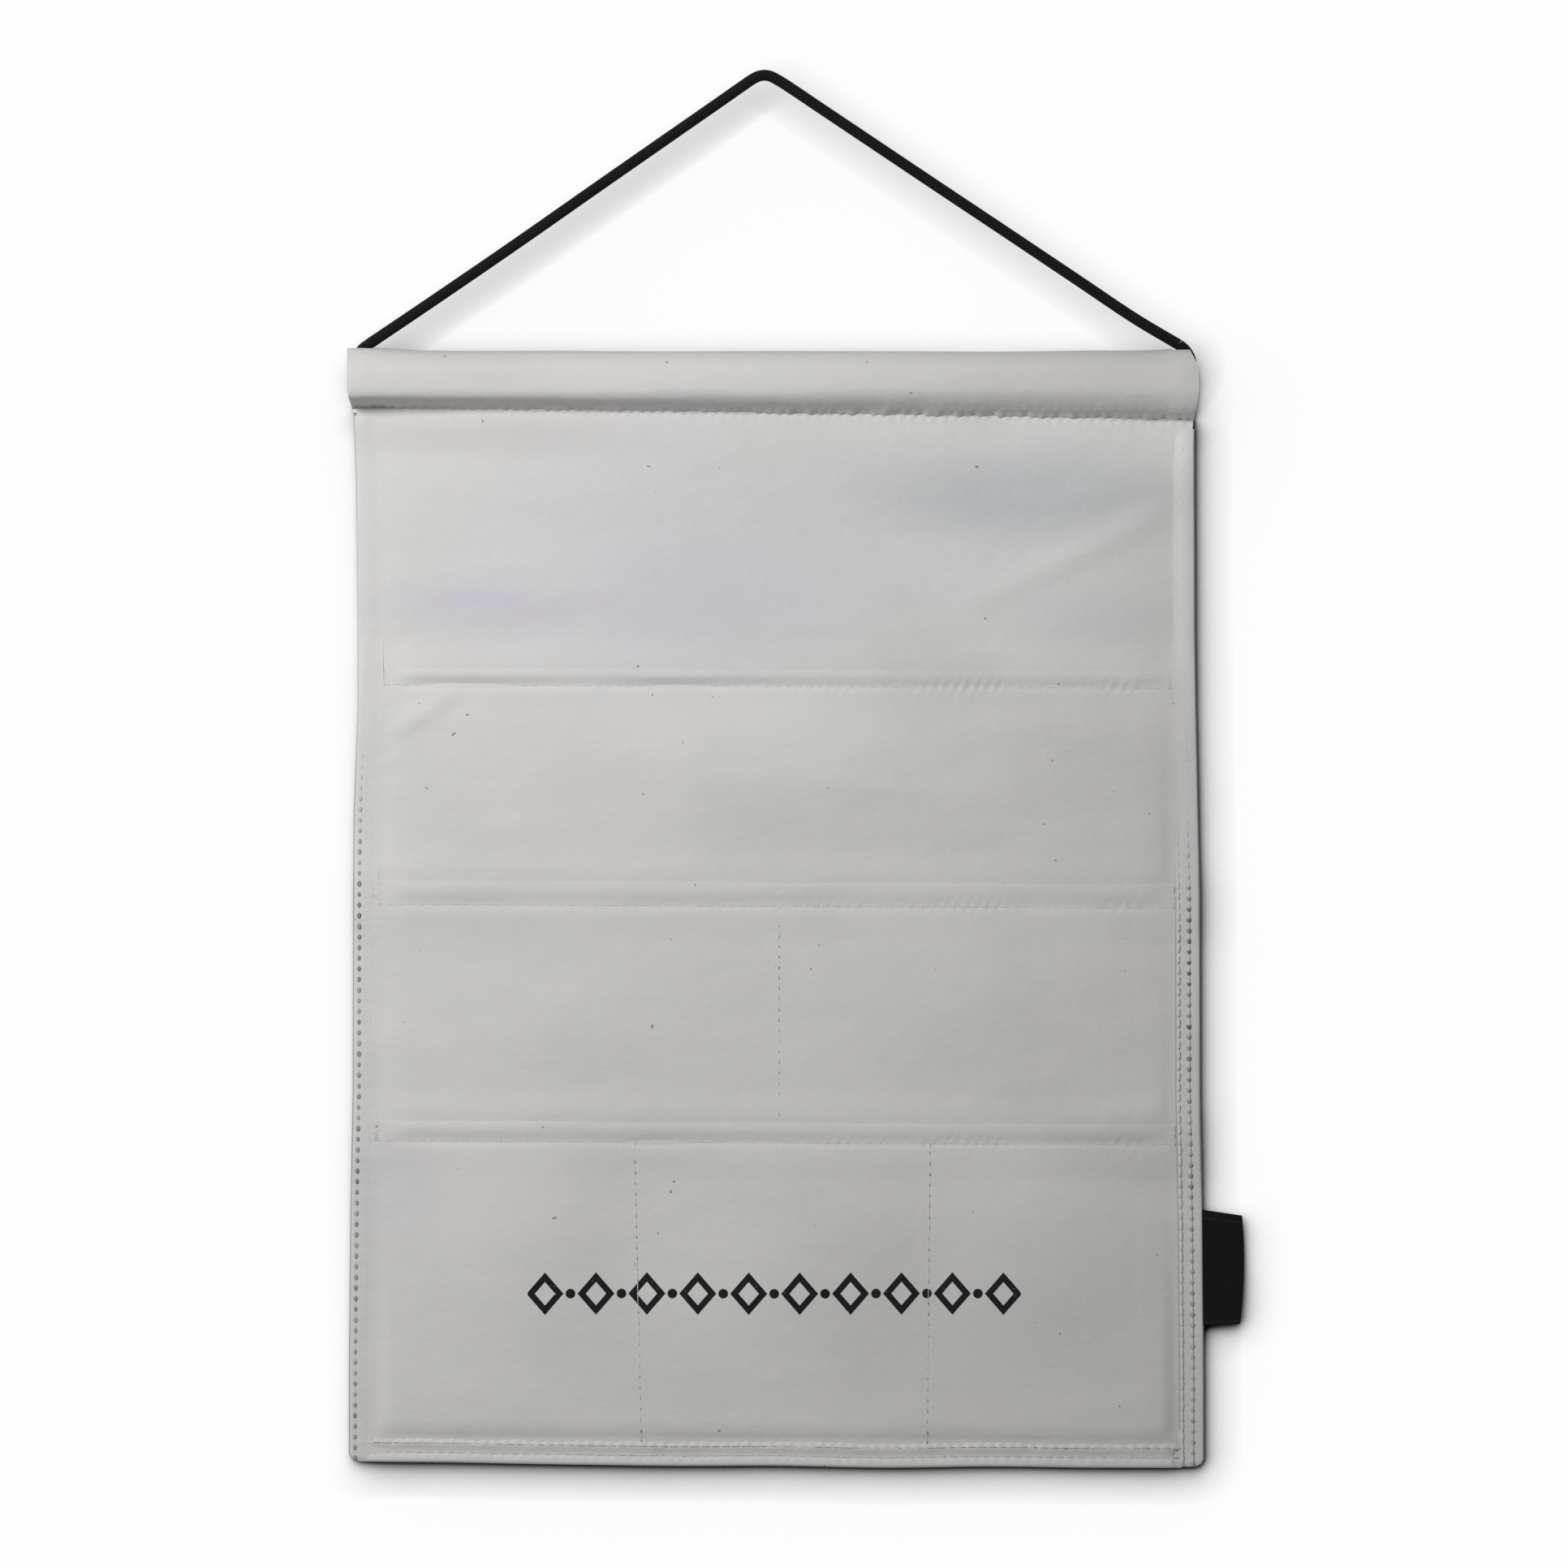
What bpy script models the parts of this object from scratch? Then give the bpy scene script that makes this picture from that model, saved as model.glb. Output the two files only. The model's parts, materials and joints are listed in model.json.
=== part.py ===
# Hanging organizer. A cloth panel carries three rows of pockets, one full width, two halves
# and three thirds. A sleeve sewn to its top holds a hollow rod, and a cord runs through the
# rod, out at both ends of the sleeve and up to a point, where it sits on a hook or a nail.
#
# Metres, +Z up, the front faces -Y. The origin is where the cord rests on its hook.
# The rod's axis lies in the plane Y = 0. The back of the sleeve and of the bindings share
# one plane, which lies against the wall.

import math

import bmesh
import bpy
from mathutils import Vector

# Cloth, thread and the clearance between pieces that touch
CLOTH = 0.0006
GAP = 0.0003
THREAD = 0.0004
THREAD_WIDTH = 0.0007

# Cord and where it leaves the sleeve, from the middle of the rod
CORD = 0.0046
CORD_CLEARANCE = 0.0004
NOTCH_LENGTH = 0.0104
NOTCH_CLEARANCE = 0.0006

# Rod, and its place under the hook
HOOK_TO_ROD = 0.1213
MIDDLE_X = 0.0037
ROD_DIAMETER = 0.0180
ROD_BORE = 0.0150
ROD_LENGTH = 0.3200
ROD_CHAMFER = 0.0004
ROD_SIDES = 48

# Sleeve round the rod, its seam, and the tail of two layers that is sewn through
SLEEVE_WIDTH = 0.3520
SEAM_DROP = 0.0155
TAIL_ABOVE_SEAM = 0.0015
TAIL_BELOW_SEAM = 0.0020
SLEEVE_ARC_STEPS = 30

# Panel below the sleeve, measured down from the line it folds on
PANEL_WIDTH = 0.3500
PANEL_HEIGHT = 0.4305
CORNER_RADIUS = 0.0040
CORNER_STEPS = 4
BINDING_WIDTH = 0.0105
BINDING_START = 0.0060
OUTER_STITCH_INSET = 0.0035
INNER_STITCH_INSET = 0.0080

# Pocket rows: each mouth, each hem and the seams between neighbouring pockets
FIRST_MOUTH = 0.1025
ROW_1_STEP = 0.0878
ROW_2_STEP = 0.0991
ROW_1_HEM = 0.0077
ROW_2_HEM = 0.0105
ROW_3_HEM = 0.0090
HALVES_SEAM_X = 0.0010
THIRDS_LEFT_X = -0.0580
THIRDS_RIGHT_X = 0.0625
TUCK = 0.0135
TUCK_RAMP = 0.0120
STITCH_MARGIN = 0.0010

# How far a pocket stands open, how flat its front is, and the share of its height that is open
BOW = 0.0060
BOW_FLATNESS = 4
BOW_FULL_SHARE = 0.50

# Woven label in the right-hand edge
LABEL_REACH = 0.0168
LABEL_HEIGHT = 0.0467
LABEL_RISE = 0.0814
LABEL_PLY = 0.00035
LABEL_LOOP = 0.0012

# Knot that closes the cord's loop inside the rod
KNOT_TURNS = 3
KNOT_PITCH = 0.0051
KNOT_POINTS_A_TURN = 24

# The cord's own points, chosen by hand. First from the left-hand exit over the hook to the
# right-hand one, as X and Z in the object's frame.
HANGING_ROUTE = (
    (-0.1633, -0.1087), (-0.1480, -0.0984), (-0.1300, -0.0862), (-0.1000, -0.0656),
    (-0.0700, -0.0446), (-0.0400, -0.0237), (-0.0200, -0.0098), (-0.0120, -0.0042),
    (-0.0077, -0.0012), (-0.0052, 0.0005), (-0.0027, 0.0018), (0.0000, 0.0023),
    (0.0027, 0.0018), (0.0052, 0.0005), (0.0077, -0.0010), (0.0120, -0.0038),
    (0.0200, -0.0092), (0.0400, -0.0226), (0.0700, -0.0427), (0.1000, -0.0627),
    (0.1300, -0.0828), (0.1530, -0.0982), (0.1707, -0.1087),
)
# Then from the right-hand exit round into the rod and on to its middle, as X from the middle
# of the rod and Z from its axis. The left-hand side is the same in mirror image.
ROD_ROUTE = (
    (0.1670, 0.0126), (0.1692, 0.0109), (0.1707, 0.0089), (0.1717, 0.0067),
    (0.1720, 0.0043), (0.1716, 0.0015), (0.1703, -0.0011), (0.1684, -0.0031),
    (0.1658, -0.0044), (0.1628, -0.0049), (0.1560, -0.0049), (0.1400, -0.0049),
    (0.1200, -0.0049), (0.0950, -0.0049), (0.0700, -0.0045), (0.0480, -0.0030),
    (0.0300, -0.0011), (0.0150, -0.0001), (0.0000, 0.0000),
)
ROUTE_STEP = 0.0100

# Sizes and places that follow from those above
SLEEVE_INNER = ROD_DIAMETER / 2 + GAP
SLEEVE_OUTER = SLEEVE_INNER + CLOTH
EXIT_RISE = SLEEVE_OUTER + CORD_CLEARANCE + CORD / 2
TAIL_TOP = SEAM_DROP - TAIL_ABOVE_SEAM
TAIL_BOTTOM = SEAM_DROP + TAIL_BELOW_SEAM
FOLD_DROP = TAIL_BOTTOM + GAP + CLOTH / 2
WALL_Y = SLEEVE_OUTER
PANEL_Y = WALL_Y - CLOTH - GAP - CLOTH / 2
INSET = CLOTH + GAP
SHEET_HALF = PANEL_WIDTH / 2 - INSET
SHEET_BOTTOM = PANEL_HEIGHT - INSET
SHEET_CORNER = CORNER_RADIUS - INSET
BINDING_INNER_X = PANEL_WIDTH / 2 - BINDING_WIDTH
SEWN_X = BINDING_INNER_X - STITCH_MARGIN
SINGLE_DEPTH = GAP + CLOTH
OVER_TUCK_DEPTH = 2 * SINGLE_DEPTH
LABEL_X = PANEL_WIDTH / 2 + GAP + LABEL_LOOP / 2


def smooth_step(low, high, value):
    share = min(max((value - low) / (high - low), 0.0), 1.0)
    return share * share * (3.0 - 2.0 * share)


# Materials


def finish(name, colour, roughness, metallic=0.0):
    material = bpy.data.materials.new(name)
    material.use_nodes = True
    shader = material.node_tree.nodes["Principled BSDF"]
    shader.inputs["Base Color"].default_value = (*colour, 1.0)
    shader.inputs["Roughness"].default_value = roughness
    shader.inputs["Metallic"].default_value = metallic
    return material


# Objects and meshes


def clear_scene():
    for item in list(bpy.data.objects):
        bpy.data.objects.remove(item, do_unlink=True)


def empty(name, place, parent=None):
    item = bpy.data.objects.new(name, None)
    item.empty_display_size = 0.02
    item.location = place
    item.parent = parent
    bpy.context.scene.collection.objects.link(item)
    return item


def add_object(name, data, material, parent):
    item = bpy.data.objects.new(name, data)
    data.materials.append(material)
    item.parent = parent
    bpy.context.scene.collection.objects.link(item)
    return item


def finished_mesh(name, work):
    """The bmesh as a mesh whose faces point out, smooth except along its sharp edges."""
    bmesh.ops.recalc_face_normals(work, faces=work.faces)
    mesh = bpy.data.meshes.new(name)
    work.to_mesh(mesh)
    work.free()
    mesh.shade_smooth()
    mesh.set_sharp_from_angle(angle=math.radians(35))
    return mesh


def prism_mesh(name, loops, start, end, place):
    """A flat outline, with any holes after it, pushed from start to end.

    place turns two numbers of the outline and one along the push into a point.
    """
    work = bmesh.new()
    edges = []
    for loop in loops:
        corners = [work.verts.new(place(a, b, start)) for a, b in loop]
        for here, after in zip(corners, corners[1:] + corners[:1]):
            edges.append(work.edges.new((here, after)))
    bmesh.ops.triangle_fill(work, use_beauty=True, use_dissolve=False, edges=edges)
    flat_angle = math.radians(0.5)
    bmesh.ops.dissolve_limit(work, angle_limit=flat_angle, verts=work.verts, edges=work.edges)
    pushed = bmesh.ops.extrude_face_region(work, geom=list(work.faces), use_keep_orig=True)
    move = Vector(place(0.0, 0.0, end)) - Vector(place(0.0, 0.0, start))
    moved = [part for part in pushed["geom"] if isinstance(part, bmesh.types.BMVert)]
    bmesh.ops.translate(work, verts=moved, vec=move)
    return finished_mesh(name, work)


def along_x(y, z, x):
    return (x, y, z)


def along_y(x, z, y):
    return (x, y, z)


def along_z(x, y, z):
    return (x, y, z)


def cut(item, cutter):
    cutter.display_type = "WIRE"
    cutter.hide_render = True
    modifier = item.modifiers.new(cutter.name, "BOOLEAN")
    modifier.operation = "DIFFERENCE"
    modifier.solver = "EXACT"
    modifier.object = cutter


def box_loop(low_a, high_a, low_b, high_b):
    return [(low_a, low_b), (high_a, low_b), (high_a, high_b), (low_a, high_b)]


def sheet_solid(name, columns, drops, front_depth, thickness, edge_x):
    """A sheet of cloth between its front and its rear surface, closed round the rim.

    Depths are measured forward from the back panel, and drops down from the fold line.
    """
    work = bmesh.new()
    face_y = -CLOTH / 2
    grids = []
    for rear in (False, True):
        grid = []
        for drop in drops:
            limit = edge_x(drop)
            line = []
            for x in columns:
                x = min(max(x, -limit), limit)
                depth = front_depth(x, drop) - (thickness(x, drop) if rear else 0.0)
                line.append(work.verts.new((x, face_y - depth, -drop)))
            grid.append(line)
        grids.append(grid)
    last_row = len(drops) - 1
    last_column = len(columns) - 1
    for grid in grids:
        for j in range(last_row):
            for i in range(last_column):
                work.faces.new((grid[j][i], grid[j][i + 1], grid[j + 1][i + 1], grid[j + 1][i]))
    front, back = grids
    for j in (0, last_row):
        for i in range(last_column):
            work.faces.new((front[j][i], front[j][i + 1], back[j][i + 1], back[j][i]))
    for i in (0, last_column):
        for j in range(last_row):
            work.faces.new((front[j][i], front[j + 1][i], back[j + 1][i], back[j][i]))
    return finished_mesh(name, work)


def thread_mesh(name, path, across):
    """A run of thread as a flat band: path is its middle line, across the way it is wide."""
    work = bmesh.new()
    side = Vector(across) * THREAD_WIDTH / 2
    lift = Vector((0.0, THREAD / 2, 0.0))
    rings = []
    for point in path:
        middle = Vector(point)
        corners = (middle + side + lift, middle - side + lift, middle - side - lift,
                   middle + side - lift)
        rings.append([work.verts.new(corner) for corner in corners])
    for here, after in zip(rings, rings[1:]):
        for k in range(4):
            m = (k + 1) % 4
            work.faces.new((here[k], here[m], after[m], after[k]))
    work.faces.new(rings[0])
    work.faces.new(rings[-1])
    return finished_mesh(name, work)


# The cord


def smooth_route(points, step):
    """Points on one smooth curve through the given ones, about a step apart."""
    points = [Vector(point) for point in points]
    before = points[0] * 2 - points[1]
    after = points[-1] * 2 - points[-2]
    padded = [before] + points + [after]
    found = [points[0]]
    for k in range(1, len(padded) - 2):
        a, b, c, d = padded[k - 1:k + 3]
        count = max(1, round((c - b).length / step))
        times = [0.0]
        for start, end in ((a, b), (b, c), (c, d)):
            times.append(times[-1] + math.sqrt((end - start).length))
        for n in range(1, count + 1):
            t = times[1] + (times[2] - times[1]) * n / count
            ab = a.lerp(b, (t - times[0]) / (times[1] - times[0]))
            bc = b.lerp(c, (t - times[1]) / (times[2] - times[1]))
            cd = c.lerp(d, (t - times[2]) / (times[3] - times[2]))
            abc = ab.lerp(bc, (t - times[0]) / (times[2] - times[0]))
            bcd = bc.lerp(cd, (t - times[1]) / (times[3] - times[1]))
            found.append(abc.lerp(bcd, (t - times[1]) / (times[2] - times[1])))
    return found


def shorten(points, length):
    """The route without its first stretch of the given length."""
    left = length
    for k, (here, after) in enumerate(zip(points, points[1:])):
        run = (after - here).length
        if run > left:
            return [here.lerp(after, left / run)] + points[k + 1:]
        left -= run
    return points[-2:]


def round_end(points):
    """Extra points and radii that close a tube's end as a ball round its last point."""
    heading = (points[-1] - points[-2]).normalized()
    added = []
    for share in (0.50, 0.80, 0.95):
        radius = math.sqrt(1.0 - share * share)
        added.append((points[-1] + heading * share * CORD / 2, radius))
    return added


def tube(name, spots, material, parent, resolution):
    curve = bpy.data.curves.new(name, "CURVE")
    curve.dimensions = "3D"
    curve.bevel_depth = CORD / 2
    curve.bevel_resolution = resolution
    curve.use_fill_caps = True
    spline = curve.splines.new("POLY")
    spline.points.add(len(spots) - 1)
    for spot, (point, radius) in zip(spline.points, spots):
        spot.co = (*point, 1.0)
        spot.radius = radius
    return add_object(name, curve, material, parent)


def make_hanging_cord(material, parent):
    route = smooth_route([(x, 0.0, z) for x, z in HANGING_ROUTE], ROUTE_STEP)
    start = round_end(route[::-1])[::-1]
    middle = [(point, 1.0) for point in route]
    tube("hanging_cord", start + middle + round_end(route), material, parent, 2)


def make_cord_in_rod(material, parent):
    right = smooth_route([(x, 0.0, z) for x, z in ROD_ROUTE], ROUTE_STEP)
    right = shorten(right, CORD / 2 + GAP)
    left = [Vector((-point.x, point.y, point.z)) for point in right]
    whole = right + left[-2::-1]
    tube("cord_in_rod", [(point, 1.0) for point in whole], material, parent, 2)


def make_cord_knot(material, parent):
    """A wrap of the cord's own end round the cord, wound as a helix on the rod's axis."""
    radius = CORD + GAP
    count = KNOT_TURNS * KNOT_POINTS_A_TURN
    points = []
    for n in range(count + 1):
        turns = n / KNOT_POINTS_A_TURN
        angle = 2.0 * math.pi * turns
        x = (turns - KNOT_TURNS / 2) * KNOT_PITCH
        points.append(Vector((x, radius * math.cos(angle), radius * math.sin(angle))))
    skip = KNOT_POINTS_A_TURN // 2
    least = min(
        (points[b] - points[a]).length
        for a in range(count + 1) for b in range(a + skip, count + 1)
    )
    print(f"cord_knot: least gap to itself {(least - CORD) * 1000:.2f} mm")
    tube("cord_knot", [(point, 1.0) for point in points], material, parent, 1)


# Rod and sleeve


def make_rod(material, parent):
    """A tube turned round X, with its four end edges broken by a small chamfer."""
    outer = ROD_DIAMETER / 2
    inner = ROD_BORE / 2
    half = ROD_LENGTH / 2
    profile = []
    for side in (-1, 1):
        end = side * half
        near = side * (half - ROD_CHAMFER)
        corner = [(near, inner), (end, inner + ROD_CHAMFER), (end, outer - ROD_CHAMFER),
                  (near, outer)]
        profile += corner if side < 0 else corner[::-1]
    work = bmesh.new()
    corners = [work.verts.new((x, 0.0, radius)) for x, radius in profile]
    edges = [
        work.edges.new((here, after))
        for here, after in zip(corners, corners[1:] + corners[:1])
    ]
    bmesh.ops.spin(
        work, geom=corners + edges, cent=(0, 0, 0), axis=(1, 0, 0),
        angle=2.0 * math.pi, steps=ROD_SIDES, use_merge=True,
    )
    add_object("rod", finished_mesh("rod", work), material, parent)


def sleeve_loops():
    """The sleeve's section as Y and Z from the rod's axis: its outside, then its inside."""
    tail_front = WALL_Y - 2 * CLOTH
    reach = math.hypot(tail_front, TAIL_TOP)
    lean = math.acos(SLEEVE_OUTER / reach)
    last = 2.0 * math.pi - math.atan2(TAIL_TOP, tail_front) - lean
    angles = [last * n / SLEEVE_ARC_STEPS for n in range(SLEEVE_ARC_STEPS + 1)]
    outside = [(SLEEVE_OUTER * math.cos(a), SLEEVE_OUTER * math.sin(a)) for a in angles]
    inside = [(SLEEVE_INNER * math.cos(a), SLEEVE_INNER * math.sin(a)) for a in angles]
    slope = (outside[-1][1] + TAIL_TOP) / (tail_front - outside[-1][0])
    crease = inside[-1][1] - slope * (SLEEVE_INNER - inside[-1][0])
    outside += [(tail_front, -TAIL_TOP), (tail_front, -TAIL_BOTTOM), (WALL_Y, -TAIL_BOTTOM)]
    inside.append((SLEEVE_INNER, crease))
    return outside, inside


def make_rod_sleeve(material, parent):
    half = SLEEVE_WIDTH / 2
    mesh = prism_mesh("rod_sleeve", sleeve_loops(), -half, half, along_x)
    sleeve = add_object("rod_sleeve", mesh, material, parent)
    for side, name in ((-1, "left_notch"), (1, "right_notch")):
        ends = sorted((side * (half - NOTCH_LENGTH), side * (half + NOTCH_LENGTH)))
        loop = box_loop(-CORD / 2 - NOTCH_CLEARANCE, CORD / 2 + NOTCH_CLEARANCE, 0.0,
                        SLEEVE_OUTER + NOTCH_LENGTH)
        cutter = add_object(name, prism_mesh(name, [loop], *ends, along_x), material, parent)
        cut(sleeve, cutter)


def make_sleeve_seam(material, parent):
    front = WALL_Y - 2 * CLOTH - GAP - THREAD / 2
    path = [(side * SEWN_X, front, -SEAM_DROP) for side in (-1, 1)]
    mesh = thread_mesh("sleeve_seam_thread", path, (0, 0, 1))
    add_object("sleeve_seam_thread", mesh, material, parent)


# Panel, pockets and bindings, modelled from the fold line


def sheet_edge(drop):
    """Half the width of the panel's sheets at a drop, which the bottom corners round off."""
    above = SHEET_BOTTOM - drop
    if above >= SHEET_CORNER:
        return SHEET_HALF
    inward = SHEET_CORNER - math.sqrt(max(SHEET_CORNER ** 2 - (SHEET_CORNER - above) ** 2, 0.0))
    return SHEET_HALF - inward


def corner_drops(bottom, radius):
    """Drops of the points that round a bottom corner, from above it to the bottom."""
    turns = [0.5 * math.pi * n / CORNER_STEPS for n in range(CORNER_STEPS + 1)]
    return [bottom - radius + radius * math.sin(turn) for turn in turns]


def make_back_panel(material, parent):
    """One sheet. Its top edge is round, about the line that it folds on."""
    half = CLOTH / 2
    turns = [math.pi * n / 8 for n in range(9)]
    section = [(-half * math.cos(turn), half * math.sin(turn)) for turn in turns]
    section += [(half, -SHEET_BOTTOM), (-half, -SHEET_BOTTOM)]
    mesh = prism_mesh("back_panel", [section], -SHEET_HALF, SHEET_HALF, along_x)
    panel = add_object("back_panel", mesh, material, parent)
    for side, name in ((-1, "left_corner_cut"), (1, "right_corner_cut")):
        arc = [(side * sheet_edge(drop), -drop) for drop in corner_drops(SHEET_BOTTOM, SHEET_CORNER)]
        beyond = SHEET_HALF + CORNER_RADIUS
        below = -SHEET_BOTTOM - CORNER_RADIUS
        loop = arc + [(arc[-1][0], below), (side * beyond, below), (side * beyond, arc[0][1])]
        cutter_mesh = prism_mesh(name, [loop], -CORNER_RADIUS, CORNER_RADIUS, along_y)
        cut(panel, add_object(name, cutter_mesh, material, parent))


class PocketRow:
    """One row of pockets: where its mouth is, what it is sewn to and how far it stands open."""

    def __init__(self, number, mouth, hem, seams, flat_from, bottom, over_tuck, steps):
        self.name = f"pocket_row_{number}"
        self.mouth = mouth
        self.hem = hem
        self.seams = seams
        self.flat_from = flat_from
        self.bottom = bottom
        self.over_tuck = over_tuck
        lines = [-SEWN_X, *seams, SEWN_X]
        self.spans = []
        for left, right in zip(lines, lines[1:]):
            inner_left = left + (STITCH_MARGIN if left in seams else 0.0)
            inner_right = right - (STITCH_MARGIN if right in seams else 0.0)
            self.spans.append((inner_left, inner_right))
        self.steps = steps

    def bow(self, x, drop):
        for left, right in self.spans:
            if left < x < right:
                share = (x - left) / (right - left)
                across = 1.0 - abs(2.0 * share - 1.0) ** BOW_FLATNESS
                down = (drop - self.mouth) / (self.flat_from - self.mouth)
                return BOW * across * (1.0 - smooth_step(BOW_FULL_SHARE, 1.0, down))
        return 0.0

    def front_depth(self, x, drop):
        """The front surface: flat on the back panel, or higher over the tuck of the row above."""
        base = SINGLE_DEPTH
        if self.over_tuck:
            ramp_end = self.mouth + TUCK + TUCK_RAMP
            lift = 1.0 - smooth_step(self.mouth + TUCK, ramp_end, drop)
            base += (OVER_TUCK_DEPTH - SINGLE_DEPTH) * lift
        return base + self.bow(x, drop)

    def thickness(self, x, drop):
        """One layer, or two in the hem, which is turned in where the pocket stands open."""
        if drop < self.mouth + self.hem:
            return CLOTH + min(CLOTH, self.bow(x, drop) / 2)
        return CLOTH

    def columns(self):
        found = [-SHEET_HALF]
        for left, right in self.spans:
            for n in range(self.steps + 1):
                share = (1.0 - math.cos(math.pi * n / self.steps)) / 2
                found.append(left + (right - left) * share)
        found.append(SHEET_HALF)
        return found

    def drops(self):
        hem_end = self.mouth + self.hem
        found = [self.mouth, hem_end - CLOTH / 2, hem_end]
        if self.over_tuck:
            found += [self.mouth + TUCK, self.mouth + TUCK + TUCK_RAMP / 2]
        start = max(found[-1], self.mouth + TUCK) + TUCK_RAMP / 2
        count = 8
        found += [start + (self.flat_from - start) * n / count for n in range(count + 1)]
        if self.bottom >= SHEET_BOTTOM:
            found += corner_drops(SHEET_BOTTOM, SHEET_CORNER)
        else:
            found.append(self.bottom)
        return found


def pocket_rows():
    mouths = [FIRST_MOUTH, FIRST_MOUTH + ROW_1_STEP, FIRST_MOUTH + ROW_1_STEP + ROW_2_STEP]
    hems = (ROW_1_HEM, ROW_2_HEM, ROW_3_HEM)
    seams = ((), (HALVES_SEAM_X,), (THIRDS_LEFT_X, THIRDS_RIGHT_X))
    steps = (18, 12, 10)
    flats = [mouths[1] - STITCH_MARGIN, mouths[2] - STITCH_MARGIN,
             PANEL_HEIGHT - BINDING_WIDTH - STITCH_MARGIN]
    bottoms = [mouths[1] + TUCK, mouths[2] + TUCK, SHEET_BOTTOM]
    return [
        PocketRow(k + 1, mouths[k], hems[k], seams[k], flats[k], bottoms[k], k > 0, steps[k])
        for k in range(3)
    ]


def make_pocket_rows(rows, material, parent):
    for row in rows:
        mesh = sheet_solid(
            row.name, row.columns(), row.drops(), row.front_depth, row.thickness, sheet_edge
        )
        add_object(row.name, mesh, material, parent)


def make_side_binding(name, side, material, parent):
    """A tape folded round the panel's edge, closed at the rounded bottom corner."""
    rear = WALL_Y - PANEL_Y
    front = -(CLOTH / 2 + OVER_TUCK_DEPTH + GAP + CLOTH)

    def outline(inset, inner_x, top):
        outer_x = PANEL_WIDTH / 2 - inset
        bottom = PANEL_HEIGHT - inset
        radius = CORNER_RADIUS - inset
        loop = [(side * inner_x, -top), (side * outer_x, -top)]
        for drop in corner_drops(bottom, radius):
            rise = drop - (bottom - radius)
            inward = radius - math.sqrt(max(radius ** 2 - rise ** 2, 0.0))
            loop.append((side * (outer_x - inward), -drop))
        loop.append((side * inner_x, -bottom))
        return loop

    whole = outline(0.0, BINDING_INNER_X, BINDING_START)
    hollow = outline(CLOTH, BINDING_INNER_X - BINDING_WIDTH, 0.0)
    mesh = prism_mesh(name, [whole], front, rear, along_y)
    binding = add_object(name, mesh, material, parent)
    hollow_name = name + "_fold"
    hollow_mesh = prism_mesh(hollow_name, [hollow], front + CLOTH, rear - CLOTH, along_y)
    cut(binding, add_object(hollow_name, hollow_mesh, material, parent))


def make_bottom_binding(material, parent):
    """The same tape along the bottom edge, between the two at the sides."""
    rear = WALL_Y - PANEL_Y
    front = -(CLOTH / 2 + SINGLE_DEPTH + GAP + CLOTH)
    top = -(PANEL_HEIGHT - BINDING_WIDTH)
    bottom = -PANEL_HEIGHT
    section = [
        (front, top), (front, bottom), (rear, bottom), (rear, top), (rear - CLOTH, top),
        (rear - CLOTH, bottom + CLOTH), (front + CLOTH, bottom + CLOTH), (front + CLOTH, top),
    ]
    half = BINDING_INNER_X - GAP
    mesh = prism_mesh("bottom_binding", [section], -half, half, along_x)
    add_object("bottom_binding", mesh, material, parent)


# Threads on the panel


def thread_y(depth):
    """The middle of a thread that lies on a front surface of the given depth."""
    return -(CLOTH / 2 + depth + GAP + THREAD / 2)


def rear_thread_y():
    return CLOTH / 2 + GAP + THREAD / 2


def make_hem_threads(rows, material, parent):
    for row in rows:
        drop = row.mouth + row.hem - THREAD_WIDTH
        path = [
            (x, thread_y(row.front_depth(x, drop)), -drop)
            for x in row.columns() if abs(x) <= SEWN_X
        ]
        name = row.name + "_hem_thread"
        add_object(name, thread_mesh(name, path, (0, 0, 1)), material, parent)


def make_divider_threads(rows, material, parent):
    """Between neighbouring pockets, in front and, where the needle comes through, behind."""
    for row, below in zip(rows, rows[1:] + [None]):
        names = ["middle"] if len(row.seams) == 1 else ["left", "right"]
        for x, where in zip(row.seams, names):
            start = row.mouth + row.hem + THREAD_WIDTH
            end = below.mouth if below else row.flat_from
            drops = [drop for drop in row.drops() if start < drop < end]
            path = [
                (x, thread_y(row.front_depth(x, drop)), -drop) for drop in [start, *drops, end]
            ]
            name = f"{row.name}_{where}_seam_thread"
            add_object(name, thread_mesh(name, path, (1, 0, 0)), material, parent)
            rear_path = [
                (x, rear_thread_y(), -drop) for drop in (row.mouth + TUCK + THREAD_WIDTH, end)
            ]
            rear_name = f"{row.name}_{where}_seam_rear_thread"
            mesh = thread_mesh(rear_name, rear_path, (1, 0, 0))
            add_object(rear_name, mesh, material, parent)


def make_bottom_seam_threads(rows, material, parent):
    """The seams that sew the bottoms of the first two rows to the back panel."""
    for row in rows[:-1]:
        drop = row.bottom - TUCK / 4
        path = [(side * SEWN_X, rear_thread_y(), -drop) for side in (-1, 1)]
        name = row.name + "_bottom_seam_thread"
        add_object(name, thread_mesh(name, path, (0, 0, 1)), material, parent)


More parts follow.
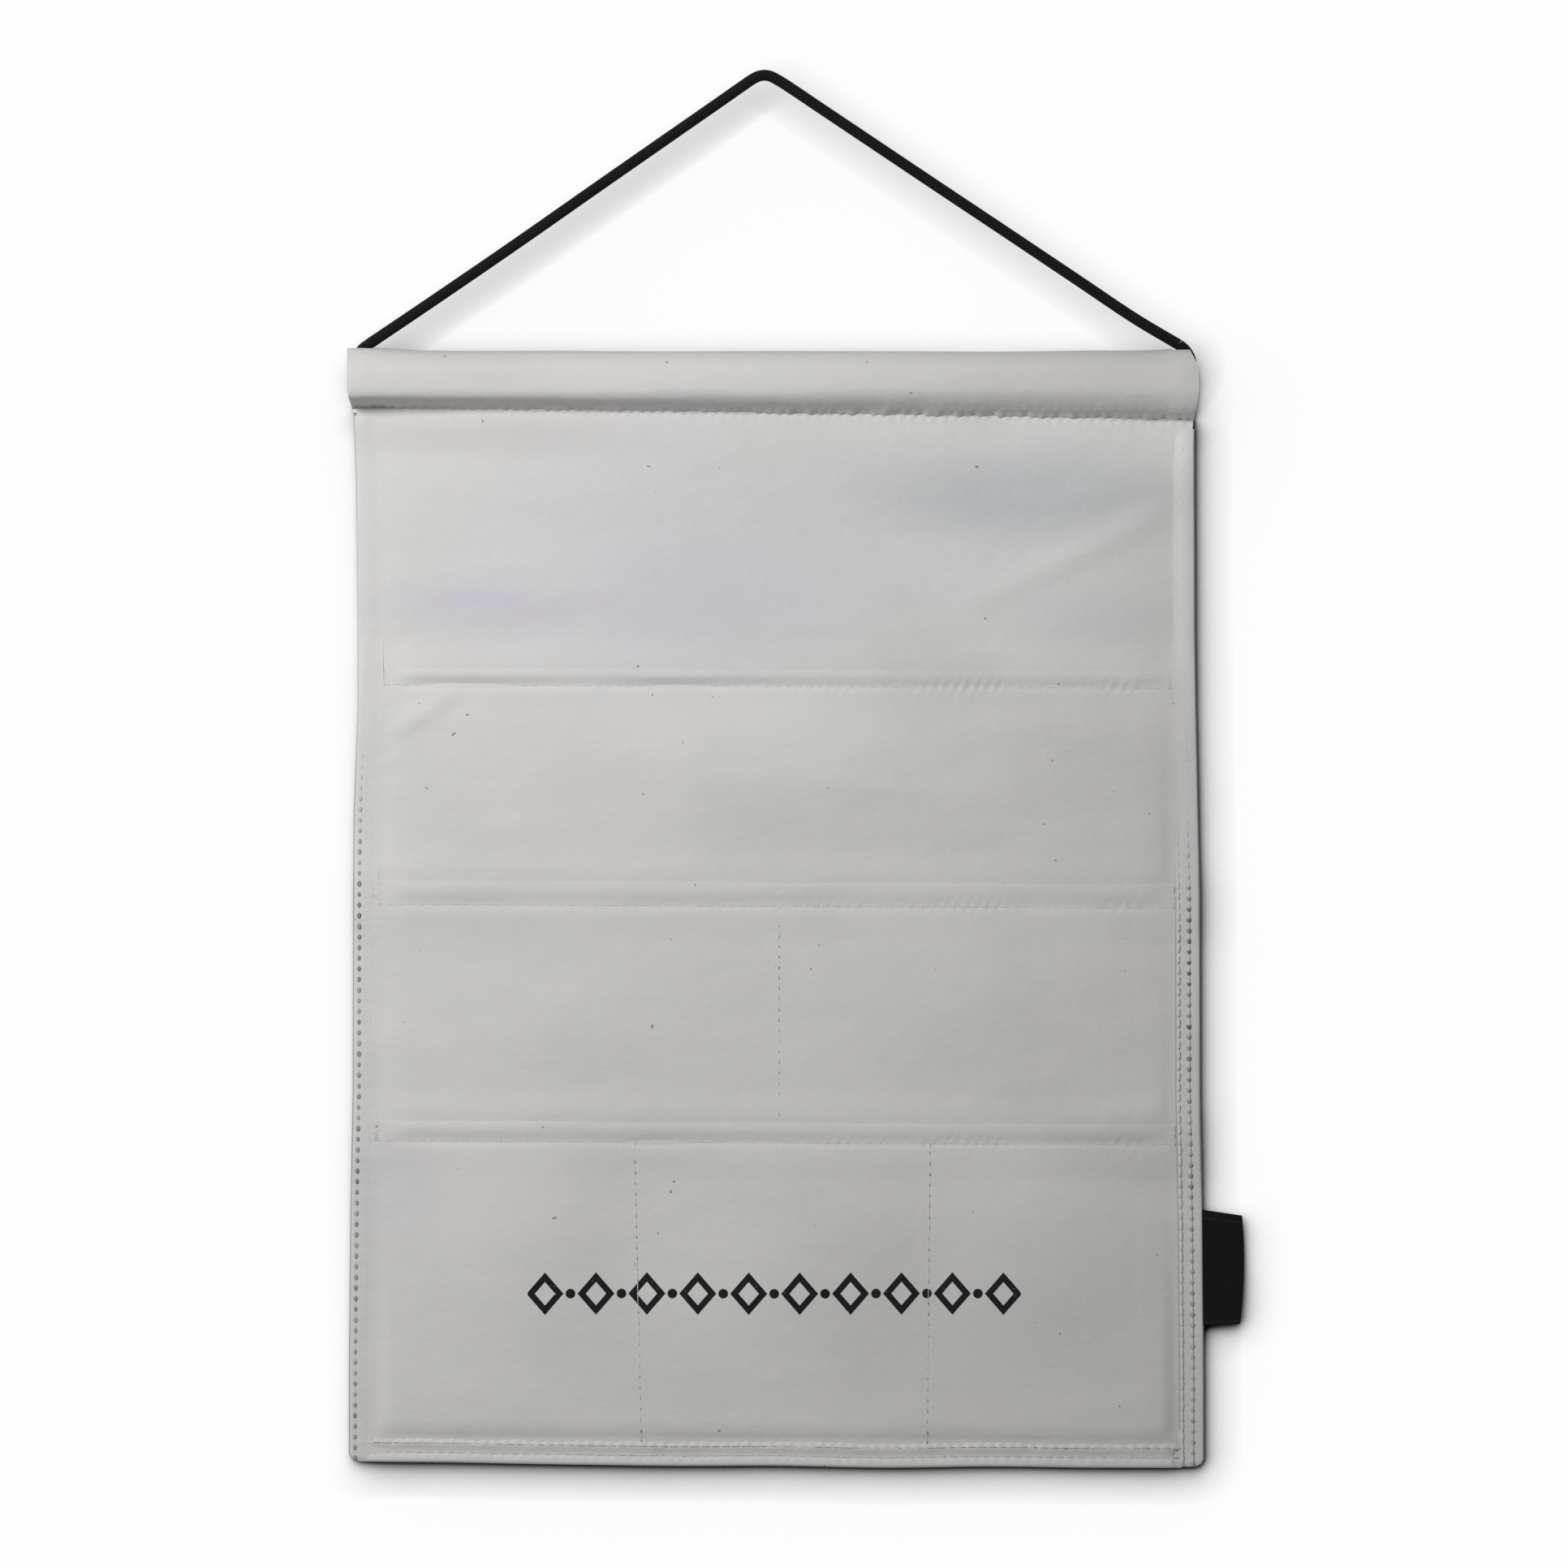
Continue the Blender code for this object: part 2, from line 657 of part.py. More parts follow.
def make_binding_threads(material, parent):
    side_y = thread_y(OVER_TUCK_DEPTH + GAP + CLOTH)
    bottom_y = thread_y(SINGLE_DEPTH + GAP + CLOTH)
    insets = (("outer", OUTER_STITCH_INSET), ("inner", INNER_STITCH_INSET))
    top = BINDING_START + OUTER_STITCH_INSET
    for where, inset in insets:
        for side, edge in ((-1, "left"), (1, "right")):
            x = side * (PANEL_WIDTH / 2 - inset)
            path = [(x, side_y, -top), (x, side_y, -(PANEL_HEIGHT - OUTER_STITCH_INSET))]
            name = f"{edge}_binding_{where}_thread"
            add_object(name, thread_mesh(name, path, (1, 0, 0)), material, parent)
        half = BINDING_INNER_X - GAP - THREAD_WIDTH
        path = [(end * half, bottom_y, -(PANEL_HEIGHT - inset)) for end in (-1, 1)]
        name = f"bottom_binding_{where}_thread"
        add_object(name, thread_mesh(name, path, (0, 0, 1)), material, parent)


# Label


def stadium(reach, radius, inset):
    """A flat loop from the fold line at 0 out to reach, drawn in by the inset."""
    turns = [math.pi * n / 8 for n in range(9)]
    size = radius - inset
    far = reach - radius
    loop = [(far + size * math.sin(turn), -size * math.cos(turn)) for turn in turns]
    loop += [(-size * math.sin(turn), size * math.cos(turn)) for turn in turns]
    return loop


def make_label(material, parent):
    """A woven tape folded double, its fold outwards and its ends in the binding."""
    radius = LABEL_LOOP / 2
    loops = [stadium(LABEL_REACH, radius, 0.0), stadium(LABEL_REACH, radius, LABEL_PLY)]
    half = LABEL_HEIGHT / 2
    mesh = prism_mesh("label_tab", loops, -half, half, along_z)
    add_object("label_tab", mesh, material, parent)


def build():
    clear_scene()
    canvas = finish("canvas", (0.57, 0.565, 0.55), 0.80)
    binding_canvas = finish("binding_canvas", (0.55, 0.545, 0.53), 0.82)
    cord_black = finish("black_cord", (0.012, 0.012, 0.013), 0.70)
    thread_grey = finish("grey_thread", (0.45, 0.44, 0.42), 0.60)
    label_black = finish("black_woven_tape", (0.010, 0.010, 0.011), 0.65)
    tube_grey = finish("grey_plastic_tube", (0.60, 0.60, 0.58), 0.45)

    hook = empty("hook", (0.0, 0.0, 0.0))
    exits = empty("cord_exits", (MIDDLE_X, 0.0, EXIT_RISE - HOOK_TO_ROD), hook)
    rod_axis = empty("rod_axis", (0.0, 0.0, -EXIT_RISE), exits)
    fold_line = empty("fold_line", (0.0, PANEL_Y, -FOLD_DROP), rod_axis)
    side_middle = (WALL_Y - PANEL_Y - CLOTH / 2 - OVER_TUCK_DEPTH - GAP - CLOTH) / 2
    label_middle = LABEL_RISE - PANEL_HEIGHT
    label_line = empty("label_line", (LABEL_X, side_middle, label_middle), fold_line)

    make_hanging_cord(cord_black, hook)
    make_cord_in_rod(cord_black, rod_axis)
    make_cord_knot(cord_black, rod_axis)
    make_rod(tube_grey, rod_axis)
    make_rod_sleeve(canvas, rod_axis)
    make_sleeve_seam(thread_grey, rod_axis)
    make_back_panel(canvas, fold_line)
    rows = pocket_rows()
    make_pocket_rows(rows, canvas, fold_line)
    make_side_binding("left_binding", -1, binding_canvas, fold_line)
    make_side_binding("right_binding", 1, binding_canvas, fold_line)
    make_bottom_binding(binding_canvas, fold_line)
    make_hem_threads(rows, thread_grey, fold_line)
    make_divider_threads(rows, thread_grey, fold_line)
    make_bottom_seam_threads(rows, thread_grey, fold_line)
    make_binding_threads(thread_grey, fold_line)
    make_label(label_black, label_line)
    bpy.context.view_layer.update()


build()
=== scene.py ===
# %% [markdown]
# # A cloth organizer on a cord
# The real thing is three rows of pockets sewn to a cloth panel. A hollow rod in a sleeve
# keeps the top straight, and one black cord runs through the rod and over a hook.
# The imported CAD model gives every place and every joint. This file dresses it: each soft
# node is replaced by a finer piece of cloth, cord or thread that moves with the same body.

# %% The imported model
import json
import math
from dataclasses import dataclass

import bpy
import numpy as np
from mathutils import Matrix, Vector


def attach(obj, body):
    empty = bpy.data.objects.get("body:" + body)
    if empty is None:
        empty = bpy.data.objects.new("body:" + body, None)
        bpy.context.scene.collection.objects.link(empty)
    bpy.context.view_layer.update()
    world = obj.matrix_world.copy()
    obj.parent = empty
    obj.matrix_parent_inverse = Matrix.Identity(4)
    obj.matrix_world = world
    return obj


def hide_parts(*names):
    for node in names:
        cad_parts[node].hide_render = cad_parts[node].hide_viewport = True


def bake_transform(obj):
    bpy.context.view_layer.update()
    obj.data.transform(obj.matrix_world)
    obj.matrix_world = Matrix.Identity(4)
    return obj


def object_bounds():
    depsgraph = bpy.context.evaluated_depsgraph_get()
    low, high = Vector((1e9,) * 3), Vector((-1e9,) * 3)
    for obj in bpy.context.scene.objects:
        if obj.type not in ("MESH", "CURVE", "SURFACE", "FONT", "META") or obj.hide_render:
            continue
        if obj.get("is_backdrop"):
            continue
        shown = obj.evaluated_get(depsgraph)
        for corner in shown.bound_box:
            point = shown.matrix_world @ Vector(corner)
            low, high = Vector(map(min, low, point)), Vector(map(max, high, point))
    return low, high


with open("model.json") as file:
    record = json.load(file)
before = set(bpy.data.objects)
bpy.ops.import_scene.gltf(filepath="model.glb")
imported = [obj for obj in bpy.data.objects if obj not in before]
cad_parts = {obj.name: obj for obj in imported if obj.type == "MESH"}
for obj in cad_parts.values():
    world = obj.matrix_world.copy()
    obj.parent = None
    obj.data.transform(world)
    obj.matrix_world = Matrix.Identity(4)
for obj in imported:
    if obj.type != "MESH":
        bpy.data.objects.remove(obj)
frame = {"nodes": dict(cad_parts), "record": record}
cad_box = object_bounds()

# %% [markdown]
# ## Sizes
# The script can't read the CAD source, so the few sizes that its own shapes need are
# written here once, in metres. Across is measured from the middle of the panel, and drop
# is measured down from the line that the panel folds on.

# %% Sizes that the cloth, the cord and the camera share
MIDDLE_X = 0.0037
ROD_Z = -0.1213
FOLD_Z = -0.1394
FACE_Y = 0.0084
WALL_Y = 0.0099

CLOTH = 0.0006
GAP = 0.0003
LAYER = CLOTH + GAP
PANEL_HALF = 0.1750
PANEL_HEIGHT = 0.4305
BINDING = 0.0105
MOUTHS = (0.1025, 0.1903, 0.2894)

# The seams across end under the side tapes, and the cloth's relief fades out beside them
SEWN_X = 0.1635
UNDER_TAPE = 0.1640
CLEAR_OF_TAPE = 0.1500
STITCH = 0.00435

PHOTO_SIDE = 1932
PIXEL = 0.000335
HOOK_PIXEL = (942.0, 101.4)


def across_at(pixel_x):
    return (pixel_x - HOOK_PIXEL[0]) * PIXEL - MIDDLE_X


def drop_at(pixel_y):
    return (pixel_y - HOOK_PIXEL[1]) * PIXEL + FOLD_Z


print(f"a photographed stitch of 13 pixels is {13 * PIXEL * 1000:.2f} mm long")

# %% [markdown]
# ## Camera
# The photograph looks straight at the cloth from far away, because its left and right
# edges show no sides. A long lens from four metres gives the same flat view, and the lens
# follows from how wide the frame is at the cloth.

# %% Camera
DISTANCE = 4.0
SENSOR = 36.0
view_side = PHOTO_SIDE * PIXEL
camera_data = bpy.data.cameras.new("straight_view")
camera_data.sensor_width = SENSOR
camera_data.lens = SENSOR * DISTANCE / view_side
camera_data.clip_start = 0.05
camera_data.clip_end = 50.0
camera = bpy.data.objects.new("straight_view", camera_data)
camera.location = (
    (PHOTO_SIDE / 2 - HOOK_PIXEL[0]) * PIXEL,
    FACE_Y - DISTANCE,
    -(PHOTO_SIDE / 2 - HOOK_PIXEL[1]) * PIXEL,
)
camera.rotation_euler = (math.radians(90), 0, 0)
bpy.context.scene.collection.objects.link(camera)
bpy.context.scene.camera = camera
print(f"lens {camera_data.lens:.0f} mm, frame {view_side * 1000:.0f} mm wide at the cloth")

# %% [markdown]
# ## Writing nodes as sums
# Shader maths reads best as sums. `Number` wraps the output of a node, and its operators
# add the Math node for each sign. `Nodes.add` makes any node: first its settings, then the
# values and links of its sockets. It serves materials and Geometry Nodes alike.


# %% Helpers for node trees
class Number:
    """A value in a node tree that can be added, multiplied and compared as on paper."""

    def __init__(self, nodes, socket):
        self.nodes = nodes
        self.socket = socket

    def __add__(self, other):
        return self.nodes.math("ADD", self, other)

    def __sub__(self, other):
        return self.nodes.math("SUBTRACT", self, other)

    def __mul__(self, other):
        return self.nodes.math("MULTIPLY", self, other)

    def __truediv__(self, other):
        return self.nodes.math("DIVIDE", self, other)

    def __rsub__(self, other):
        return self.nodes.math("SUBTRACT", other, self)

    __radd__ = __add__
    __rmul__ = __mul__


class Nodes:
    """Adds nodes to one tree."""

    def __init__(self, tree):
        self.tree = tree
        tree.nodes.clear()

    def add(self, kind, settings=None, sockets=None, out=0):
        node = self.tree.nodes.new(kind)
        for name, setting in (settings or {}).items():
            setattr(node, name, setting)
        for name, content in (sockets or {}).items():
            if isinstance(content, Number):
                self.tree.links.new(content.socket, node.inputs[name])
            else:
                node.inputs[name].default_value = content
        return Number(self, node.outputs[out]) if len(node.outputs) else node

    def output(self, number, name):
        """Another output of the node that a number comes from."""
        return Number(self, number.socket.node.outputs[name])

    def math(self, operation, *values):
        return self.add("ShaderNodeMath", {"operation": operation}, dict(enumerate(values)))

    def sine(self, value):
        return self.math("SINE", value)

    def size(self, value):
        return self.math("ABSOLUTE", value)

    def to_camera(self):
        """1 for what the camera sees directly, the first output of Light Path."""
        return self.add("ShaderNodeLightPath")

    def step(self, value, low, high):
        """0 below low, 1 above high and a smooth rise between."""
        settings = {"interpolation_type": "SMOOTHSTEP"}
        sockets = {"Value": value, "From Min": low, "From Max": high}
        return self.add("ShaderNodeMapRange", settings, sockets)

    def mix(self, share, one, other):
        """A colour between two colours."""
        sockets = {0: share, 6: one, 7: other}
        return self.add("ShaderNodeMix", {"data_type": "RGBA"}, sockets, out=2)

    def noise(self, place, scale, detail=3.0, roughness=0.5):
        sockets = {"Vector": place, "Scale": scale, "Detail": detail, "Roughness": roughness}
        return self.add("ShaderNodeTexNoise", None, sockets)

    def on_cloth(self):
        """The place on the flat map, in metres."""
        return self.add("ShaderNodeUVMap", {"uv_map": "flat"})

    def in_room(self):
        """The place in the room, in metres."""
        return self.add("ShaderNodeTexCoord", out=3)

    def parts(self, vector):
        """The X, Y and Z of a vector."""
        x = self.add("ShaderNodeSeparateXYZ", None, {0: vector})
        return x, self.output(x, 1), self.output(x, 2)

    def stretched(self, vector, scale):
        return self.add("ShaderNodeMapping", None, {"Vector": vector, "Scale": scale})


def rgb(red, green, blue):
    return (red, green, blue, 1.0)


def shaded(colour, red, green, blue):
    """A colour with each of its parts scaled."""
    return rgb(colour[0] * red, colour[1] * green, colour[2] * blue)


def new_material(name):
    material = bpy.data.materials.new(name)
    material.use_nodes = True
    return material, Nodes(material.node_tree)


def surface(nodes, colour, roughness, height, bump, **fixed):
    """The shader at the end of a material: fixed holds the sockets that never change."""
    strength, distance = bump
    sockets = {"Strength": strength, "Distance": distance, "Height": height}
    normal = nodes.add("ShaderNodeBump", None, sockets)
    sockets = {"Base Color": colour, "Roughness": roughness, "Normal": normal}
    sockets.update({name.replace("_", " "): value for name, value in fixed.items()})
    shader = nodes.add("ShaderNodeBsdfPrincipled", None, sockets)
    nodes.add("ShaderNodeOutputMaterial", None, {"Surface": shader})


# %% [markdown]
# ## Cord
# One length of limp braided cord holds everything. It leaves the sleeve at both ends, runs
# taut up to the hook, and its hidden half lies in the hollow rod, where a knot closes the
# loop. A tube is swept along the CAD's own points. A curve with a bevel would do as well,
# but a mesh can carry a map in metres, which the braid needs.

# %% The cord's route
CORD = 0.0046
HANGING_ROUTE = (
    (-0.1633, -0.1087), (-0.1480, -0.0984), (-0.1300, -0.0862), (-0.1000, -0.0656),
    (-0.0700, -0.0446), (-0.0400, -0.0237), (-0.0200, -0.0098), (-0.0120, -0.0042),
    (-0.0077, -0.0012), (-0.0052, 0.0005), (-0.0027, 0.0018), (0.0000, 0.0023),
    (0.0027, 0.0018), (0.0052, 0.0005), (0.0077, -0.0010), (0.0120, -0.0038),
    (0.0200, -0.0092), (0.0400, -0.0226), (0.0700, -0.0427), (0.1000, -0.0627),
    (0.1300, -0.0828), (0.1530, -0.0982), (0.1707, -0.1087),
)
ROD_ROUTE = (
    (0.1670, 0.0126), (0.1692, 0.0109), (0.1707, 0.0089), (0.1717, 0.0067),
    (0.1720, 0.0043), (0.1716, 0.0015), (0.1703, -0.0011), (0.1684, -0.0031),
    (0.1658, -0.0044), (0.1628, -0.0049), (0.1560, -0.0049), (0.1400, -0.0049),
    (0.1200, -0.0049), (0.0950, -0.0049), (0.0700, -0.0045), (0.0480, -0.0030),
    (0.0300, -0.0011), (0.0150, -0.0001), (0.0000, 0.0000),
)


def smooth_route(points, step):
    """Points on one smooth curve through the given ones, about a step apart."""
    points = [Vector(point) for point in points]
    padded = [points[0] * 2 - points[1], *points, points[-1] * 2 - points[-2]]
    found = [points[0]]
    for k in range(1, len(padded) - 2):
        a, b, c, d = padded[k - 1 : k + 3]
        count = max(1, round((c - b).length / step))
        times = [0.0]
        for start, end in ((a, b), (b, c), (c, d)):
            times.append(times[-1] + math.sqrt((end - start).length))
        for n in range(1, count + 1):
            t = times[1] + (times[2] - times[1]) * n / count
            ab = a.lerp(b, (t - times[0]) / (times[1] - times[0]))
            bc = b.lerp(c, (t - times[1]) / (times[2] - times[1]))
            cd = c.lerp(d, (t - times[2]) / (times[3] - times[2]))
            abc = ab.lerp(bc, (t - times[0]) / (times[2] - times[0]))
            bcd = bc.lerp(cd, (t - times[1]) / (times[3] - times[1]))
            found.append(abc.lerp(bcd, (t - times[1]) / (times[2] - times[1])))
    return found


def length_of(points):
    return sum((after - here).length for here, after in zip(points, points[1:]))


CORD_STEP = 0.0016
over_hook = smooth_route([(x, 0.0, z) for x, z in HANGING_ROUTE], CORD_STEP)
right_part = [Vector((MIDDLE_X + x, 0.0, ROD_Z + z)) for x, z in ROD_ROUTE]
left_part = [Vector((2 * MIDDLE_X - p.x, p.y, p.z)) for p in right_part]
through_rod = smooth_route(right_part + left_part[-2::-1], CORD_STEP)
print(f"cord over the hook {length_of(over_hook):.3f} m, in the rod {length_of(through_rod):.3f} m")


# %% A mesh with a map in metres
def linked(name, data):
    item = bpy.data.objects.new(name, data)
    bpy.context.scene.collection.objects.link(item)
    return item


def mapped_mesh(name, points, faces, corners):
    """A smooth mesh. corners holds the place of each face corner on the flat material."""
    mesh = bpy.data.meshes.new(name)
    mesh.from_pydata(points, [], faces)
    layer = mesh.uv_layers.new(name="flat")
    layer.data.foreach_set("uv", np.asarray(corners, np.float32).ravel())
    mesh.shade_smooth()
    mesh.set_sharp_from_angle(angle=math.radians(60))
    return mesh


def tube(name, line, radius, sides):
    """A tube along a line of points, on a frame that doesn't twist, closed at both ends."""
    points, faces, corners = [], [], []
    runs = [0.0]
    side = Vector((0.0, 1.0, 0.0))
    for k, point in enumerate(line):
        heading = (line[min(k + 1, len(line) - 1)] - line[max(k - 1, 0)]).normalized()
        side = (side - heading * side.dot(heading)).normalized()
        up = heading.cross(side)
        for n in range(sides):
            turn = 2.0 * math.pi * n / sides
            points.append(point + (side * math.cos(turn) + up * math.sin(turn)) * radius)
        if k:
            runs.append(runs[-1] + (point - line[k - 1]).length)
            low = (k - 1) * sides
            for n in range(sides):
                m = (n + 1) % sides
                faces.append((low + n, low + m, low + sides + m, low + sides + n))
                left, right = n / sides, (n + 1) / sides
                corners += [(runs[-2], left), (runs[-2], right), (runs[-1], right), (runs[-1], left)]
    last = (len(line) - 1) * sides
    for ring, run in ((range(sides - 1, -1, -1), 0.0), (range(last, last + sides), runs[-1])):
        faces.append(tuple(ring))
        corners += [(run, 0.5)] * sides
    piece = linked(name, mapped_mesh(name, points, faces, corners))
    print(f"{name}: {runs[-1] * 1000:.0f} mm, {len(faces)} faces")
    return piece


# %% [markdown]
# ### Braid
# The sheath is plaited from sixteen strands, eight leaning each way. Two slanting waves on
# the tube's own map, metres along and turns round, make the strands, and the higher of the
# two lies on top. The black is kept just above zero, as dyed fibre never is quite black.
# The lower parts of the plait are painted darker still, as shade.

# %% Braided sheath
BRAID_TURN = 0.014
STRANDS = 8


def braid_finish():
    material, nodes = new_material("braided sheath")
    flat = nodes.on_cloth()
    along, turn, _ = nodes.parts(flat)
    full = 2.0 * math.pi * STRANDS
    one = nodes.sine(turn * full + along * (full / BRAID_TURN))
    other = nodes.sine(turn * full - along * (full / BRAID_TURN))
    top = nodes.math("MAXIMUM", one, other)
    fibre = nodes.noise(nodes.stretched(flat, (2600.0, 60.0, 1.0)), 1.0, 2.0)
    # Painted shade: the plait is darker where a strand dips under the other
    deep, high = rgb(0.0012, 0.0012, 0.0014), rgb(0.006, 0.006, 0.0065)
    colour = nodes.mix(nodes.step(top, -0.2, 1.0), deep, high)
    height = top + fibre * 0.3
    surface(nodes, colour, 0.62 + fibre * 0.2, height, (0.6, 0.0003), Specular_IOR_Level=0.10)
    return material


def dress(piece, material):
    piece.data.materials.append(material)


braid = braid_finish()

# %% [markdown]
# The visible cord belongs to the hanger and the rest to the roll.

# %% Cord over the hook, cord in the rod, and the knot
hanging_cord = tube("cord_over_hook", over_hook, CORD / 2, 18)
dress(hanging_cord, braid)
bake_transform(hanging_cord)
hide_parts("hanging_cord")


# The knot's turns lie round the cord in the rod
KNOT_TURNS = 3
KNOT_PITCH = 0.0051
KNOT_REACH = CORD + GAP
TURN_STEPS = 24
knot_line = []
for n in range(KNOT_TURNS * TURN_STEPS + 1):
    turn = n / TURN_STEPS
    angle = 2.0 * math.pi * n / TURN_STEPS
    y, z = math.cos(angle) * KNOT_REACH, ROD_Z + math.sin(angle) * KNOT_REACH
    knot_line.append(Vector((MIDDLE_X + (turn - KNOT_TURNS / 2) * KNOT_PITCH, y, z)))
knot = tube("knot_in_rod", knot_line, CORD / 2, 14)
dress(knot, braid)
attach(knot, "roll")
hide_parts("cord_knot")

rod_cord = tube("cord_through_rod", through_rod, CORD / 2, 14)
dress(rod_cord, braid)
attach(rod_cord, "roll")
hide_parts("cord_in_rod")

length_of(over_hook)
length_of(through_rod)

# %% [markdown]
# ## How the cloth hangs
# No real panel is a true rectangle. This one is drawn in at the sides where the first
# pocket starts, its seams slope a little, and it lies against the wall in faint waves.
# A cloth simulation could drape it, but its folds wouldn't fall where the photograph has
# them. Here one function places every point of the panel, so that all its pieces share the
# same waves: a pocket, its hem and its stitches can't drift apart.


# %% Smooth steps, random patches and folds
def smooth(value, low, high):
    """0 at low, 1 at high and a smooth rise between, for arrays. low may be above high."""
    share = np.clip((value - low) / (high - low), 0.0, 1.0)
    return share * share * (3.0 - 2.0 * share)


def trough(away, width):
    """1 on a line and a smooth fall to both sides of it."""
    return np.exp(-((away / width) ** 2))


def patches(x, y, wide, tall, seed):
    """Smooth random values from -1 to 1, in patches of the given size."""
    table = np.random.default_rng(seed).uniform(-1.0, 1.0, (97, 97))
    u, v = x / wide + 40.0, y / tall + 40.0
    i, j = np.floor(u).astype(int), np.floor(v).astype(int)
    fu, fv = u - i, v - j
    fu, fv = fu * fu * (3 - 2 * fu), fv * fv * (3 - 2 * fv)
    i, j, i1, j1 = i % 97, j % 97, (i + 1) % 97, (j + 1) % 97
    low = table[i, j] * (1 - fu) + table[i1, j] * fu
    high = table[i, j1] * (1 - fu) + table[i1, j1] * fu
    return low * (1 - fv) + high * fv


def ripples(along, length, seed, row=0.0):
    """Smooth random values from -1 to 1 along a line, in stretches of the given length."""
    return patches(along, along * 0 + row, length, 1.0, seed)


def fold(x, drop, start, end, width, height):
    """A soft fold along the straight line from start to end, both (across, drop)."""
    dx, dy = end[0] - start[0], end[1] - start[1]
    long = math.hypot(dx, dy)
    along = ((x - start[0]) * dx + (drop - start[1]) * dy) / long
    beside = ((x - start[0]) * dy - (drop - start[1]) * dx) / long
    fade = smooth(along, 0.0, long * 0.4) * smooth(along, long, long * 0.6)
    return height * fade * trough(beside, width)


# %% The panel's outline, slopes and waves
EDGE_DROPS = [drop_at(y) for y in (530, 600, 700, 780, 870, 1000, 1100, 1350, 1490, 1700)]
LEFT_EDGE = [0.0019, 0.0028, 0.0032, 0.0035, 0.0035, 0.0018, 0.0015, 0.0013, 0.0004, -0.0003]
RIGHT_EDGE = [-0.0011, -0.0010, -0.0009, -0.0008, -0.0004, 0.0005, 0.0012, 0.0013, 0.0022, 0.0028]
SLOPE_DROPS = [0.0, 0.06, 0.10, 0.30, 0.43]
SLOPES = [0.0027, 0.0012, 0.0008, 0.0009, 0.0012]

# Folds: from and to in pixels of the photograph, width and height in metres
FOLDS = (
    ((1120, 778), (1600, 548), 0.0060, 0.00110),
    ((1010, 700), (1230, 742), 0.0060, 0.00035),
    ((520, 770), (760, 725), 0.0070, 0.00030),
    ((436, 926), (580, 842), 0.0046, 0.00100),
    ((448, 950), (500, 925), 0.0018, 0.00030),
    ((540, 1030), (820, 1000), 0.0050, 0.00030),
    ((900, 960), (1300, 985), 0.0060, 0.00030),
    ((1120, 905), (1400, 880), 0.0050, 0.00028),
    ((700, 1300), (1000, 1330), 0.0060, 0.00025),
    ((1180, 1190), (1400, 1230), 0.0060, 0.00025),
    ((1130, 1340), (1420, 1330), 0.0045, 0.00025),
    ((500, 1700), (760, 1740), 0.0060, 0.00025),
    ((900, 1700), (1120, 1680), 0.0050, 0.00022),
    ((1230, 1740), (1440, 1720), 0.0050, 0.00028),
)


def waves(x, drop):
    """How far the panel stands off its flat place, forwards, in metres."""
    rise = 0.00055 + 0.00040 * patches(x, drop, 0.085, 0.042, 3)
    rise += 0.00022 * patches(x, drop, 0.034, 0.015, 8)
    rise += 0.00005 * patches(x, drop, 0.012, 0.006, 5)
    for start, end, width, height in FOLDS:
        spots = [(across_at(spot[0]), drop_at(spot[1])) for spot in (start, end)]
        rise += fold(x, drop, *spots, width, height)
    return rise * smooth(drop, 0.0, 0.03) * smooth(np.abs(x), 0.176, 0.150)


def place(x, drop, depth):
    """Points in the room: depth is measured forwards from the panel's own flat face."""
    x, drop, depth = np.broadcast_arrays(np.asarray(x, float), drop, depth)
    left = np.interp(drop, EDGE_DROPS, LEFT_EDGE)
    right = np.interp(drop, EDGE_DROPS, RIGHT_EDGE)
    shift = np.where(x < 0, left, right) * smooth(np.abs(x), 0.110, 0.168)
    slope = np.interp(drop, SLOPE_DROPS, SLOPES) * x / PANEL_HALF
    return np.stack(
        [MIDDLE_X + x + shift, FACE_Y - depth - waves(x, drop), FOLD_Z - 0.0004 - slope - drop],
        axis=-1,
    )


heights = waves(*np.meshgrid(np.linspace(-0.15, 0.15, 60), np.linspace(0.05, 0.4, 80)))
print(f"the panel's waves reach {heights.min() * 1000:.2f} to {heights.max() * 1000:.2f} mm")

# %% [markdown]
# ### Cloth from a grid
# Each piece of cloth starts as a grid of points on its outer side, as if it lay flat. The
# grid is bent into place, a second layer is set behind it by the cloth's thickness, and a
# rim closes the two. Solidify would do the same, but it rounds the turned hems badly.


